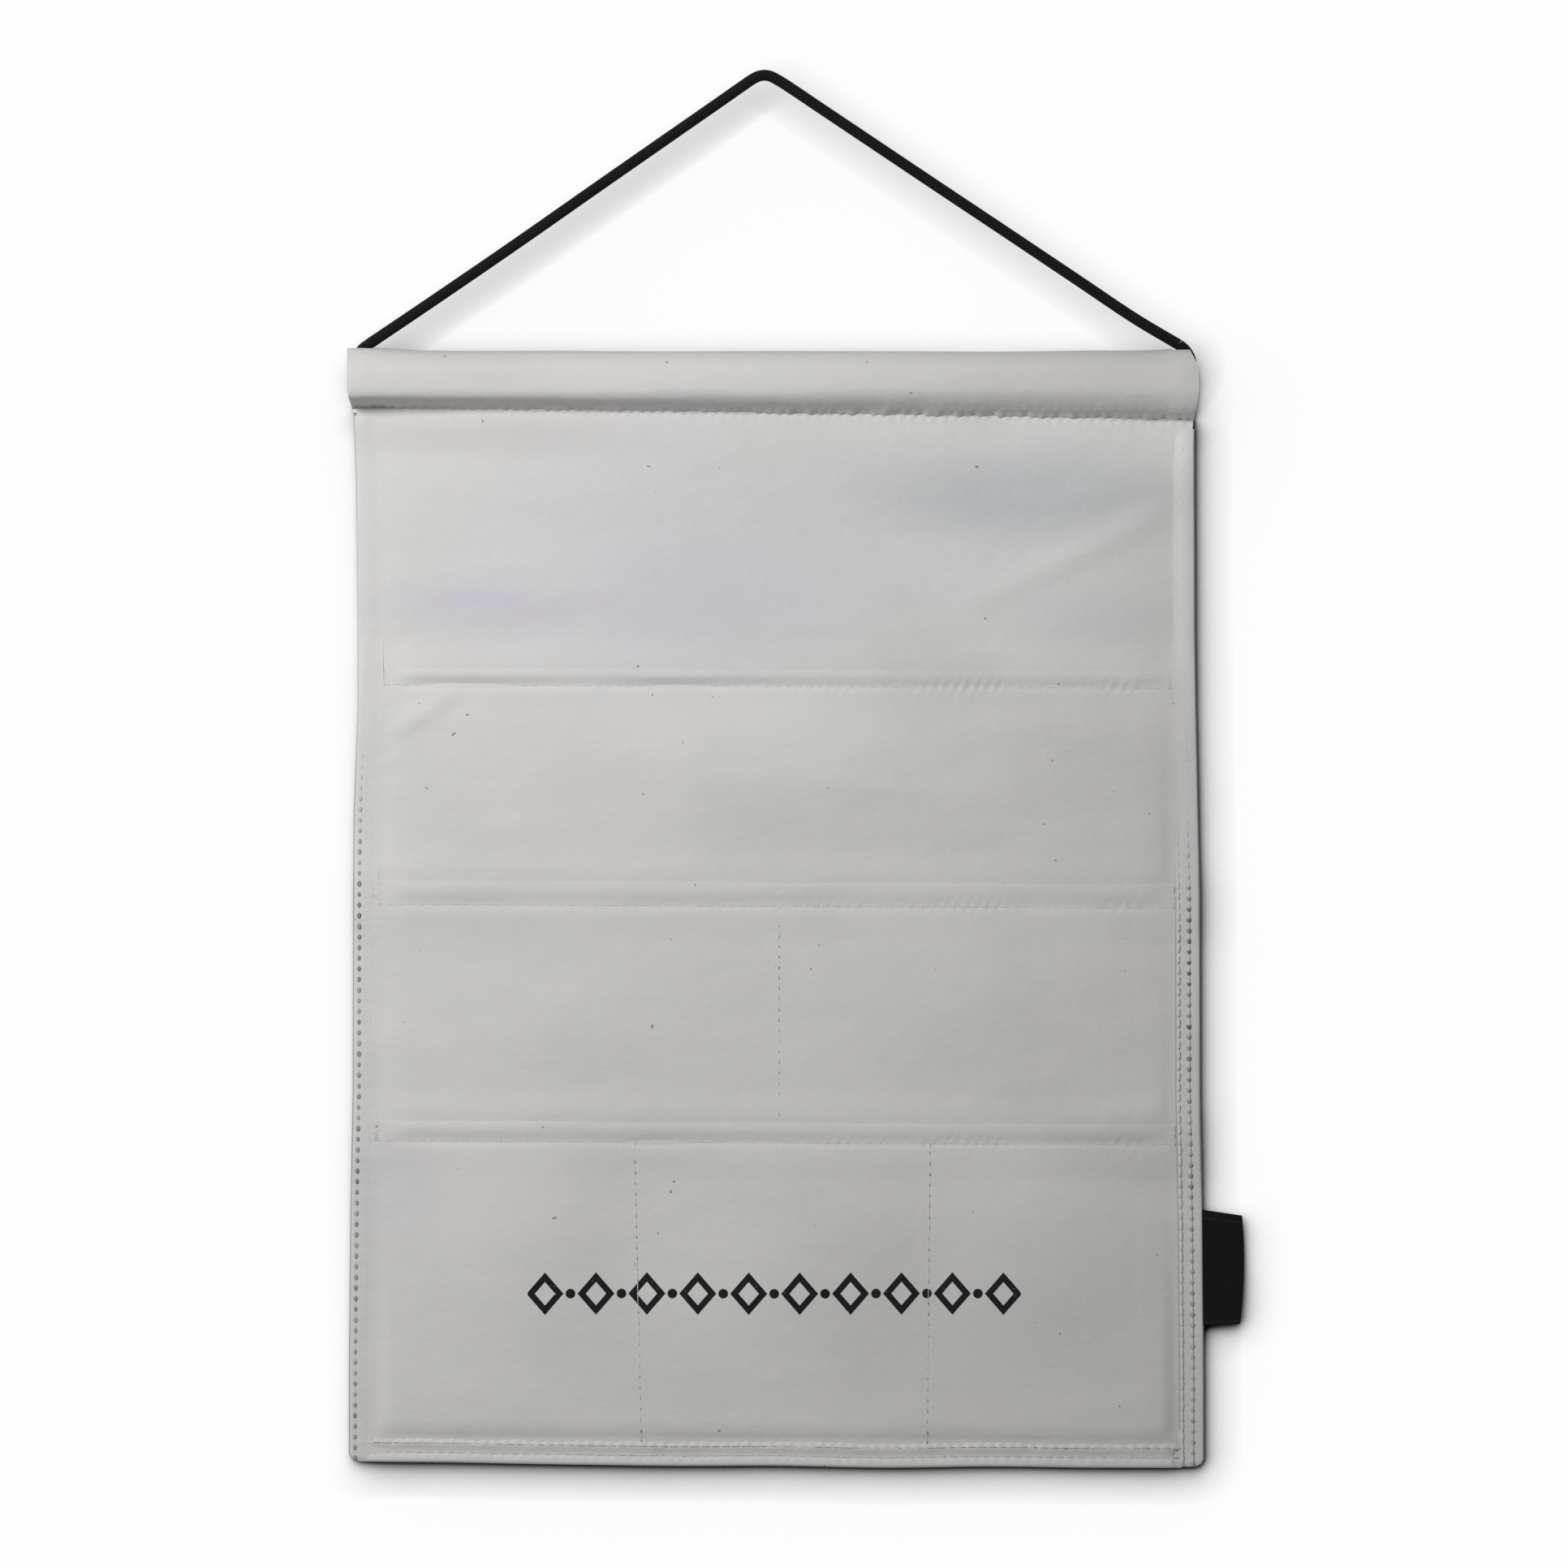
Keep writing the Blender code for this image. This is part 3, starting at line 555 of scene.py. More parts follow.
# %% A closed sheet from a grid
def cloth(name, grid, flat, thick=CLOTH, keep=None):
    """grid and flat give each point's place in the room and on the cut cloth."""
    rows, columns = grid.shape[:2]
    if keep is None:
        keep = np.ones((rows - 1, columns - 1), bool)
    outward = np.cross(np.gradient(grid, axis=0), np.gradient(grid, axis=1))
    outward /= np.maximum(np.linalg.norm(outward, axis=2, keepdims=True), 1e-12)
    points = np.concatenate([grid.reshape(-1, 3), (grid - outward * thick).reshape(-1, 3)])
    index = np.arange(rows * columns).reshape(rows, columns)
    behind = rows * columns
    a, b, c, d = index[:-1, :-1], index[1:, :-1], index[1:, 1:], index[:-1, 1:]
    quads = [np.stack([a, b, c, d], axis=-1)[keep]]
    quads.append(np.stack([d, c, b, a], axis=-1)[keep] + behind)
    framed = np.pad(keep, 1)
    upper, lower = framed[:-1, 1:-1], framed[1:, 1:-1]
    before, after = framed[1:-1, :-1], framed[1:-1, 1:]
    across = np.stack([index[:, :-1], index[:, 1:]], axis=-1)
    down = np.stack([index[:-1], index[1:]], axis=-1)
    for edges in (across[lower & ~upper], across[upper & ~lower][:, ::-1],
                  down[after & ~before][:, ::-1], down[before & ~after]):
        quads.append(np.concatenate([edges, edges[:, ::-1] + behind], axis=1))
    quads = np.concatenate(quads)
    used, faces = np.unique(quads, return_inverse=True)
    faces = faces.reshape(quads.shape)
    places = np.concatenate([flat.reshape(-1, 2)] * 2)[used]
    mesh = mapped_mesh(name, points[used].tolist(), faces.tolist(), places[faces])
    print(f"{name}: {len(faces)} faces")
    return linked(name, mesh)


def flat_map(grid):
    """Metres across and down the cut cloth, measured along its middle column and row."""
    def run(line):
        steps = np.linalg.norm(np.diff(line, axis=0), axis=1)
        return np.concatenate([[0.0], np.cumsum(steps)])
    down = run(grid[:, grid.shape[1] // 2])
    across = run(grid[grid.shape[0] // 2])
    u, v = np.meshgrid(across, -down)
    return np.stack([u, v], axis=-1)


def pucker(along, away, width=0.0022, slant=0.0):
    """Cloth drawn in and out by a line of stitches, which lies where away is 0."""
    wobble = 0.6 * ripples(along, 0.009, 21) + slant * away * 2 * math.pi / STITCH
    return np.cos(2 * math.pi * along / STITCH + wobble) * np.exp(-np.abs(away) / width)


# %% [markdown]
# ## Coated canvas
# The cloth is a light grey canvas with a smooth coating. Close up it shows a plain weave,
# from afar faint cooler and warmer clouds and a few dark specks. The weave is drawn on the
# flat map, so that it runs with the threads where the cloth turns. The clouds lie in the
# room's own coordinates, so that they run on from piece to piece. Some are plain noise. The
# larger ones are listed by place, and the same noise makes their edges ragged. The darker
# and paler of these are partly the cloth's own tone and partly painted shade and painted
# light.

# %% Canvas
THREADS = 0.00055

# What the large clouds tint the cloth with: the darker and paler tints are partly painted shade and
# painted light
COOL_SHADE = (0.03, 0.115, 0.20)
LILAC = (0.39, 0.34, 0.55)
HAZE = (0.572, 0.573, 0.607)
GREY_SHADE = (0.05, 0.05, 0.05)
PALE_LIGHT = (0.95, 0.95, 0.93)

# Large clouds: across and up, half width, half height, share of the tint, and the tint
CLOUDS = (
    (0.010, -0.190, 0.220, 0.058, 0.350, HAZE),
    (0.135, -0.150, 0.085, 0.020, 0.220, PALE_LIGHT),
    (0.125, -0.208, 0.095, 0.045, 0.110, PALE_LIGHT),
    (0.020, -0.270, 0.080, 0.032, 0.090, PALE_LIGHT),
    (0.112, -0.168, 0.070, 0.022, 0.165, COOL_SHADE),
    (0.145, -0.222, 0.040, 0.016, 0.080, COOL_SHADE),
    (-0.118, -0.216, 0.050, 0.015, 0.230, LILAC),
    (-0.030, -0.212, 0.060, 0.030, 0.130, LILAC),
    (-0.150, -0.120, 0.080, 0.015, 0.100, GREY_SHADE),
    (-0.130, -0.146, 0.080, 0.011, 0.110, GREY_SHADE),
    (-0.105, -0.350, 0.085, 0.022, 0.045, GREY_SHADE),
    (0.085, -0.505, 0.085, 0.045, 0.070, GREY_SHADE),
    (0.150, -0.442, 0.035, 0.016, 0.090, GREY_SHADE),
    (-0.160, -0.455, 0.030, 0.022, 0.120, LILAC),
    (0.145, -0.285, 0.045, 0.020, 0.045, GREY_SHADE),
)


def woven(nodes, flat, pitch):
    """The height of a plain weave: each thread passes over and under the next ones."""
    u, v, _ = nodes.parts(flat)
    warp, weft = nodes.sine(u * (math.pi / pitch)), nodes.sine(v * (math.pi / pitch))
    over = warp * weft * 0.5 + 0.5
    return nodes.size(warp) * over + nodes.size(weft) * (1 - over)


def painted_edge_shade(nodes, flat, across, height):
    """Painted shade on a tape: on its turn round the panel's edge and in the crevice along its inner
    edge.
    """
    facing, _, _ = nodes.parts(nodes.output(nodes.add("ShaderNodeNewGeometry"), "Normal"))
    at_edge = nodes.step(nodes.size(across), 0.167, 0.169)
    turned = nodes.step(nodes.size(facing), 0.55, 0.90) * at_edge * 0.50
    from_cut, _, _ = nodes.parts(flat)
    cut = 1 - nodes.step(nodes.size(from_cut), 0.0003, 0.0008)
    cut = cut * (1 - nodes.step(height, -0.36, -0.31)) * nodes.step(height, -0.557, -0.555) * 0.5
    return nodes.math("MAXIMUM", turned, cut)


def canvas_finish(name, paper, printed=None, edge_shade=False):
    """paper is the cloth's own colour. printed takes the nodes and gives where ink lies. The last
    argument paints shade on a tape's edges.
    """
    material, nodes = new_material(name)
    flat = nodes.on_cloth()
    room = nodes.in_room()
    weave = woven(nodes, flat, THREADS)
    across, _, height = nodes.parts(room)

    # Noise of three sizes makes the cloth warmer, cooler and darker in places
    warm = shaded(paper, 1.006, 1.000, 0.984)
    lilac = shaded(paper, 1.000, 0.984, 1.022)
    soiled = shaded(paper, 0.90, 0.90, 0.90)
    between_threads = shaded(paper, 0.6, 0.6, 0.6)
    clouds = nodes.noise(nodes.stretched(room, (1.0, 1.0, 1.7)), 11.0, 3.0, 0.55)
    streaks = nodes.noise(nodes.stretched(room, (1.0, 1.0, 4.0)), 16.0, 4.0, 0.6)
    colour = nodes.mix(nodes.step(nodes.noise(room, 7.0, 1.0), 0.50, 0.66) * 0.35, warm, lilac)
    colour = nodes.mix(nodes.step(clouds, 0.42, 0.68) * 0.40, colour, soiled)
    colour = nodes.mix(nodes.step(streaks, 0.52, 0.74) * 0.30, colour, soiled)

    # The large clouds lie over that, the darker and paler ones partly as painted shade and painted light
    for x, z, wide, tall, dark, tone in CLOUDS:
        u, v = (across - x) * (1 / wide), (height - z) * (1 / tall)
        near = 1 - nodes.step(nodes.math("SQRT", u * u + v * v) + (clouds - 0.5) * 1.5, 0.2, 1.3)
        colour = nodes.mix(near * dark, colour, rgb(*tone))

    # Shade between the threads, and dark specks
    colour = nodes.mix((1 - weave) * 0.10, colour, between_threads)
    speck = nodes.step(nodes.noise(room, 400.0, 0.0), 0.878, 0.893)
    colour = nodes.mix(speck * 0.7, colour, rgb(0.16, 0.15, 0.14))
    # Painted shade: the tapes' turned edges and the crevice along their inner edge are darkened
    if edge_shade:
        colour = nodes.mix(painted_edge_shade(nodes, flat, across, height), colour, rgb(0.11, 0.105, 0.10))

    # The coating is dull, and print is a little smoother
    grain = nodes.noise(room, 900.0, 2.0)
    roughness = 0.66 + grain * 0.10 + streaks * 0.10
    if printed:
        ink = printed(nodes, room)
        worn = ink * (1 - nodes.step(nodes.noise(room, 700.0, 3.0), 0.66, 0.80) * 0.5)
        colour = nodes.mix(worn, colour, rgb(0.004, 0.004, 0.004))
        roughness = roughness - ink * 0.16

    # Weave, grain and soft crumples stand up as bumps
    crumple = nodes.noise(nodes.stretched(room, (1.0, 1.0, 1.6)), 90.0, 4.0, 0.6)
    relief = weave * 0.10 + grain * 0.10 + crumple * 1.6
    surface(nodes, colour, roughness, relief, (0.45, 0.0006), Specular_IOR_Level=0.12)
    return material


CANVAS = (0.584, 0.580, 0.571)
canvas = canvas_finish("coated canvas", CANVAS)
tape_canvas = canvas_finish("coated canvas tape", [part * 1.01 for part in CANVAS], edge_shade=True)
print("canvas colour", CANVAS)

# %% [markdown]
# ## The sheet at the back
# All pockets are sewn to one sheet. The sheet ends a little inside the panel's edge, so
# that the label, which is caught in the right-hand tape, has room to fold. Only its top is
# as wide as the panel.

# %% Back panel
SEAM_BELOW_ROD = 0.0155
SEAM_DROP = FOLD_Z - (ROD_Z - SEAM_BELOW_ROD)
LABEL_ROOM = 0.0022
SHEET_HALF = PANEL_HALF - LABEL_ROOM
TOP_HALF = PANEL_HALF - LAYER
SHEET_TOP = -0.0040
SHEET_BOTTOM = PANEL_HEIGHT - LAYER
CORNER = 0.0040
LEAN = 0.0030
BOW = 0.0032


def in_outline(x, drop):
    """Keeps points of a sheet inside its rounded bottom corners."""
    corner = CORNER - LAYER
    rise = np.clip(drop - (SHEET_BOTTOM - corner), 0.0, corner)
    limit = SHEET_HALF - corner + np.sqrt(corner**2 - rise**2)
    return np.clip(x, -limit, limit)


def spaced(start, end, step):
    return np.linspace(start, end, max(2, int(round((end - start) / step)) + 1))


def seam_relief(x, drop):
    """The gathered line of stitches right under the sleeve."""
    away = drop - SEAM_DROP
    gathers = 0.00030 * patches(x, away, 0.013, 0.03, 31) * np.exp(-np.abs(away) / 0.006)
    return 0.00035 * pucker(x, away - 0.0006, 0.0012) - 0.00010 * trough(away, 0.0008) + gathers + 0.0003


def lean(x, drop):
    """The seam hangs nearer to the rod's middle than the panel below it, except at the sides."""
    return LEAN * smooth(drop, 0.060, -0.002) * smooth(np.abs(x), 0.1720, 0.1000)


def lead_in(drop, mouth, height=0.0012):
    """The cloth above a pocket's mouth comes forward on to the hem, and turns back under it."""
    rise = height * smooth(drop, mouth - 0.014, mouth - 0.0005)
    return rise * smooth(drop, mouth + 0.0030, mouth + 0.0004)


def beside(x):
    """How much of a lead-in is left near and under the side tapes."""
    x = np.abs(x)
    return 0.58 * smooth(x, UNDER_TAPE, CLEAR_OF_TAPE) + 0.42 * smooth(x, 0.1720, UNDER_TAPE)


def panel_depth(x, drop):
    """The sheet's relief: the seam at its top, and what the first row's bow pulls forward."""
    gathered = seam_relief(x, drop) * smooth(drop, 0.022, 0.004) * smooth(drop, -0.0040, -0.0028)
    share = np.clip((x + SEWN_X) / (2 * SEWN_X), 0.0, 1.0)
    height = 0.00135 + 0.12 * BOW * (4 * share * (1 - share)) ** 2 - 0.0004 * smooth(x, -0.02, 0.06)
    return gathered + lean(x, drop) + lead_in(drop, MOUTHS[0], height) * beside(x)


x_line = spaced(-SHEET_HALF, SHEET_HALF, STITCH / 3)
drops = np.concatenate([
    spaced(SHEET_TOP, 0.0080, 0.0006), spaced(0.0090, 0.1000, 0.0019), spaced(0.1006, 0.1080, 0.0006),
    spaced(0.1130, SHEET_BOTTOM - 0.0040, 0.0055), spaced(SHEET_BOTTOM - 0.003, SHEET_BOTTOM, 0.001),
])
x, drop = np.meshgrid(x_line, drops)
x = in_outline(x, drop)
x = x * (1.0 + (TOP_HALF - SHEET_HALF) / SHEET_HALF * smooth(drop, 0.030, 0.006))
panel_grid = place(x, drop, panel_depth(x, drop))
panel_cloth = cloth("panel_cloth", panel_grid, np.stack([x, -drop], axis=-1))
dress(panel_cloth, canvas)
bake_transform(panel_cloth)
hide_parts("back_panel")

# %% [markdown]
# ## Pockets
# Each row of pockets is one strip. Its top edge is turned in as a hem, its bottom is sewn
# to the sheet at the back, where the next row covers the seam, and lines of stitches part
# it into one, two and three pockets. The grid of a strip starts inside the hem, comes up
# and over the fold at the mouth and runs down the front, as the strip itself does. Empty
# pockets lie nearly flat: they bow by 3 mm in the middle and are almost shut at the mouth.

# %% One row of pockets
# How far the next row covers a row's bottom, and how far a hem's stitches lie from its end
TUCK = 0.0135
HEM_EDGE = 0.0007


@dataclass
class Row:
    """A strip of cloth sewn into pockets. Drops are measured from the panel's fold.

    crease is how deep the hem's stitched line lies, at the left and at the right. Each seam
    has its place across at the mouth and at the pockets' bottom, flat_from.
    """

    name: str
    mouth: float
    hem: float
    crease: tuple
    scallop: float
    seams: tuple
    flat_from: float
    bottom: float
    next_mouth: float | None

    def seam_at(self, seam, drop):
        """A seam isn't sewn quite straight down: it has a place at the mouth and one below."""
        share = (drop - self.mouth) / (self.flat_from - self.mouth)
        return seam[0] + (seam[1] - seam[0]) * share

    def bow(self, x, drop):
        """How far the pockets stand off the sheet: little at the mouth, most at mid-height."""
        down = (drop - self.mouth) / (self.flat_from - self.mouth)
        across = np.zeros(np.broadcast(x, drop).shape)
        lines = [-SEWN_X, *[self.seam_at(seam, drop) for seam in self.seams], SEWN_X]
        for left, right in zip(lines, lines[1:]):
            share = np.clip((x - left) / (right - left), 0.0, 1.0)
            across = np.maximum(across, (4.0 * share * (1.0 - share)) ** 2)
        tall = (0.12 + 0.88 * smooth(down, 0.0, 0.40)) * (1.0 - smooth(down, 0.45, 1.0))
        return BOW * across * tall

    def hem_relief(self, x, below):
        """The turned hem: padded at the mouth, drawn in where it is stitched, full again."""
        wander = 0.00055 * ripples(x, 0.026, 17)
        line = self.hem - HEM_EDGE
        away = below - line - wander

        # How hard the thread pulls, from place to place
        crease = np.interp(x, (-0.02, 0.09), self.crease)
        crease = crease * (1.0 + 0.70 * ripples(x, 0.040, 18))
        crease = crease * (0.45 + 0.55 * smooth(x, -0.158, -0.130))

        # Full at the mouth, drawn in down to the stitched line, and full again below it
        padded = 0.00030 * smooth(below, 0.0, 0.0025) + 0.00010 * patches(x, below, 0.028, 0.02, 12)
        deep = 0.00030 + 0.00110 * crease
        drawn = -deep * smooth(below - wander, 0.25 * line, line)
        drawn = drawn + deep * 0.75 * smooth(away, 0.0, 0.0026)
        drawn = drawn - 0.00012 * crease * trough(away, 0.0008)

        # Scallops between the stitches, and a faint ripple below them
        scallops = (0.00008 + self.scallop * smooth(x, 0.0, 0.07)) * pucker(x, away, slant=0.5)
        scallops = scallops * (0.60 + 0.80 * ripples(x, 0.013, 45))
        ripple = 0.00010 * np.cos(away / 0.0024) * np.exp(-np.abs(away) / 0.010)
        ripple = ripple * smooth(away, 0.003, 0.007) * (0.6 + 0.8 * patches(x, below, 0.045, 0.05, 14))
        return padded + drawn + scallops + ripple + deep * 0.25 * smooth(away, 0.002, 0.020)

    def seam_relief(self, x, drop):
        """The lines of stitches between neighbouring pockets."""
        total = np.zeros(np.broadcast(x, drop).shape)
        for seam in self.seams:
            away = x - self.seam_at(seam, drop)
            total += 0.00013 * pucker(drop, away, 0.0013) - 0.00002 * trough(away, 0.0009)
        return total

    def belly(self, drop):
        """Above its sewn bottom the cloth comes down full and turns in sharply."""
        deep, tall = (0.0014, 0.0065) if self.next_mouth is None else (0.0006, 0.0080)
        share = np.clip((drop - self.flat_from + tall) / tall, 0.0, 1.0)
        return deep * (1.0 - share**2) * smooth(drop, self.mouth, self.flat_from)

    def depth(self, x, drop):
        """How far the cloth's outer side lies in front of the panel's flat face."""
        below = drop - self.mouth
        free = smooth(np.abs(x), UNDER_TAPE, CLEAR_OF_TAPE)
        base = LAYER
        if self is not ROWS[0]:
            base = base + LAYER * (1.0 - smooth(below, TUCK, TUCK + 0.012))
        doubled = CLOTH * (1.0 - smooth(below, self.hem * 0.4, self.hem))
        reliefs = free * (doubled + self.hem_relief(x, below) + self.seam_relief(x, drop))
        reliefs = reliefs + self.belly(drop) * smooth(np.abs(x), UNDER_TAPE, 0.1575)
        if self.next_mouth is None:
            sunk = smooth(drop, self.flat_from - 0.0006, self.flat_from + 0.0018)
            sunk = sunk * smooth(x, -UNDER_TAPE, -0.1540)
            reliefs = reliefs - 0.0006 * sunk
        else:
            reliefs = reliefs + lead_in(drop, self.next_mouth) * beside(x)
        return base + reliefs + self.bow(x, drop)

    def grid(self):
        """Points from inside the hem, over the fold and down to the bottom."""
        inside = [(below, 2.0) for below in np.linspace(self.hem, 0.0016, 5)]
        over = [(CLOTH * (1 - math.sin(t)), 1 + math.cos(t)) for t in np.linspace(0, math.pi, 9)]
        height = self.bottom - self.mouth
        near = spaced(0.0011, min(0.024, height * 0.3), 0.0008)
        turn = self.flat_from - self.mouth
        front = np.concatenate([
            near, spaced(near[-1] + 0.0018, turn - 0.0075, 0.0019),
            spaced(turn - 0.0066, turn + 0.0008, 0.0008), spaced(turn + 0.0020, height, 0.0019),
        ])
        below, layers = np.array(inside + over + [(below, 0.0) for below in front]).T
        x, below = np.meshgrid(spaced(-SHEET_HALF, SHEET_HALF, STITCH / 4), below)
        drop = self.mouth + below
        x = in_outline(x, drop)
        half_hem = 0.5 * CLOTH * (1.0 + smooth(np.abs(x), UNDER_TAPE, CLEAR_OF_TAPE))
        depth = self.depth(x, drop) - half_hem * layers[:, None]
        return place(x, drop, depth)


ROWS = (
    Row(
        "pocket_cloth_1", MOUTHS[0], hem=0.0077, crease=(1.0, 0.35), scallop=0.00020, seams=(),
        flat_from=0.1893, bottom=0.2038, next_mouth=MOUTHS[1],
    ),
    Row(
        "pocket_cloth_2", MOUTHS[1], hem=0.0105, crease=(0.40, 0.45), scallop=0.00014,
        seams=((0.0023, 0.0023),), flat_from=0.2884, bottom=0.3029, next_mouth=MOUTHS[2],
    ),
    Row(
        "pocket_cloth_3", MOUTHS[2], hem=0.0090, crease=(0.50, 0.80), scallop=0.00014,
        seams=((-0.0576, -0.0546), (0.0646, 0.0633)), flat_from=0.4190, bottom=SHEET_BOTTOM,
        next_mouth=None,
    ),
)

# %% [markdown]
# ### A printed band
# A band of black print runs across the third row. It is a plain geometric trim: outlined
# diamonds with a dot between each two. Distances measured in the shader draw it, so that
# it stays sharp at any size, and the weave and a little wear show through.

# %% Print and the three rows
BAND_X = 0.0040
BAND_Z = -0.4998
BAND_PITCH = 0.0210
BAND_UNITS = 10
BAND_HALF = BAND_PITCH * BAND_UNITS / 2 - 0.0032
BAND_TALL = 0.0089
LINE = 0.0030


def diamond_band(nodes, room):
    x, _, z = nodes.parts(room)
    across = x - BAND_X
    unit = across / BAND_PITCH
    near = nodes.size(unit - nodes.math("FLOOR", unit) - 0.5) * BAND_PITCH
    high = nodes.size(z - BAND_Z)
    outline = BAND_TALL - (near * 1.15 + high)
    inner = nodes.step(outline, LINE * 1.32, LINE * 1.32 + 0.0002)
    diamond = nodes.step(outline, 0.0, 0.0002) * (1 - inner)
    gap = BAND_PITCH / 2 - near
    apart = nodes.math("SQRT", gap * gap + high * high)
    dot = 1 - nodes.step(apart, 0.0019, 0.0021)
    inside = 1 - nodes.step(nodes.size(across), BAND_HALF - 0.0003, BAND_HALF)
    return nodes.math("MAXIMUM", diamond, dot) * inside


printed_canvas = canvas_finish("coated canvas with printed band", CANVAS, diamond_band)
for row, node in zip(ROWS, ("pocket_row_1", "pocket_row_2", "pocket_row_3")):
    grid = row.grid()
    piece = cloth(row.name, grid, flat_map(grid))
    dress(piece, printed_canvas if row is ROWS[2] else canvas)
    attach(piece, "panel")
    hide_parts(node)

# %% [markdown]
# ## Bindings
# The raw edges of all the layers are closed in by three folded tapes. A tape is flat in
# front, round at the edge and flat against the wall, and it stands thicker where layers lie
# under it. The side tapes start at the fold and end closed and rounded at the bottom
# corners. The bottom tape's ends go in under them. The inner edges are pressed into the
# cloth, so hardly more than a faint line shows of them, and painted shade darkens that line
# lower down, and the tapes' turned outer edges. A bevelled curve would make the turn, but
# not such an edge, so each tape is a grid as well: its section, repeated from end to end.

# %% Folded tape
LAYER_DROPS = [0.0, 0.090, 0.102, 0.178, 0.190, 0.206, 0.217, 0.277, 0.289, 0.305, 0.316, 0.4305]
LAYERS = [0.6, 0.6, 1.5, 1.5, 2.3, 2.3, 1.5, 1.5, 2.3, 2.3, 1.5, 1.5]
BACK = WALL_Y - FACE_Y

# How far in from the edge a tape starts to turn, and at what drop the side tapes start
TURN = 0.0023
TAPE_TOP = 0.0006

# How far in from the edge each run of stitches lies, on the left, the right and the bottom
EDGE_INSETS = {-1: (0.0026, 0.0072), 1: (0.0048, 0.0090)}
BOTTOM_INSETS = (0.0043, 0.0082)


def tape_section(front, steps=18):
    """Inset from the edge and depth, from the front's inner side round to the back."""
    middle = (front - BACK) / 2
    radius = (front + BACK) / 2
    insets = [np.full(front.shape, inset) for inset in np.linspace(BINDING, TURN, steps)]
    depths = [front] * steps
    for turn in np.linspace(0.0, math.pi, 10):
        insets.append(radius * 0.75 * (1 - math.sin(turn)))
        depths.append(middle + radius * math.cos(turn))
    for inset in np.linspace(TURN, BINDING, 6):
        insets.append(np.full(front.shape, inset))
        depths.append(np.full(front.shape, -BACK))
    return np.stack(insets, axis=-1), np.stack(depths, axis=-1)


def shown(side, drop):
    """The edges' stitches are hardly seen at the top and show more further down."""
    start = drop_at(900) if side < 0 else drop_at(980)
    return smooth(drop, start, start + 0.060)


def side_front(side, drop):
    """How far a side tape stands forward. The right-hand one is full from its top."""
    layers = np.interp(drop, LAYER_DROPS, LAYERS)
    if side > 0:
        layers = np.maximum(layers, 1.5 * smooth(drop, 0.0, 0.006))
    return 0.001 * layers + 0.00012 * ripples(drop, 0.02, 5, row=side)


def side_relief(side, drop, inset):
    """Small lumps, faint stitched lines and a side tape's thin inner edge, pressed to the cloth."""
    seen = shown(side, drop)
    total = 0.00010 * patches(drop, inset, 0.016, 0.006, 41) * smooth(inset, 0.0, 0.002)
    for stitched in EDGE_INSETS[side]:
        total = total + 0.00004 * (0.2 + seen) * pucker(drop, inset - stitched, 0.0012)
    over_cloth = side_front(side, drop) - 0.001 * (np.interp(drop, LAYER_DROPS, LAYERS) - 0.6)
    share = 1.02 if side < 0 else 1.04 - 0.52 * seen
    if side > 0:
        share = share * smooth(drop, PANEL_HEIGHT - 0.0095, PANEL_HEIGHT - 0.0140)
    wide = 0.0078 if side < 0 else 0.0078 - 0.0060 * seen
    return total - over_cloth * share * (1.0 - smooth(BINDING - inset, 0.0, wide))


def bottom_edge(line):
    """How far the bottom edge hangs down: most in the middle, and not quite evenly."""
    return 0.0004 * ripples(line, 0.045, 47) + 0.0009 * (1.0 - (line / PANEL_HALF) ** 2)


def bottom_front(line):
    """How far the bottom tape stands forward."""
    return 0.0018 + 0.00015 * ripples(line, 0.018, 6)


def bottom_relief(along, inset):
    """Two ridges with scalloped upper edges, and a soft trough between them."""
    scallop = pucker(along, along * 0) + 0.8 * ripples(along, 0.006, 44)
    rising = smooth(BINDING - inset, 0.0, 0.0026 + 0.0009 * scallop)
    lumps = 0.00012 * patches(along, inset, 0.0075, 0.004, 43) * trough(inset - 0.0062, 0.0030)
    shift = 0.00035 * scallop
    sunk = smooth(inset, 0.0086, 0.0044) * smooth(inset - shift, 0.0021, 0.0041)
    return lumps - 0.0016 * (1.0 - rising) - 0.0011 * sunk


def pressed_tape(name, grid):
    """A tape's cloth, flat where it lies against the wall."""
    grid[..., 1] = np.minimum(grid[..., 1], WALL_Y)
    return cloth(name, grid, flat_map(grid))


def side_tape(name, side):
    """side is -1 for the left-hand tape and 1 for the right-hand one."""
    drops = spaced(TAPE_TOP, PANEL_HEIGHT, STITCH / 4)
    front = side_front(side, drops)
    inset, depth = tape_section(front)
    drop = np.repeat(drops[:, None], inset.shape[1], axis=1)
    depth = depth + side_relief(side, drop, inset) * (depth > front[:, None] * 0.6)

    # Rounded at the corner, and closed at the very end
    rise = np.clip(drop - (PANEL_HEIGHT - CORNER), 0.0, CORNER)
    outer = BINDING - CORNER + np.sqrt(CORNER**2 - rise**2)
    end = np.clip((drop - (PANEL_HEIGHT - 0.0015)) / 0.0015, 0.0, 0.96)
    middle = (front[:, None] - BACK) / 2
    depth = middle + (depth - middle) * np.sqrt(1 - end**2)
    x = side * (PANEL_HALF - BINDING + outer * (1 - inset / BINDING))
    if side < 0:
        x, drop, depth = x[:, ::-1], drop[:, ::-1], depth[:, ::-1]
    return pressed_tape(name, place(x, drop, depth))


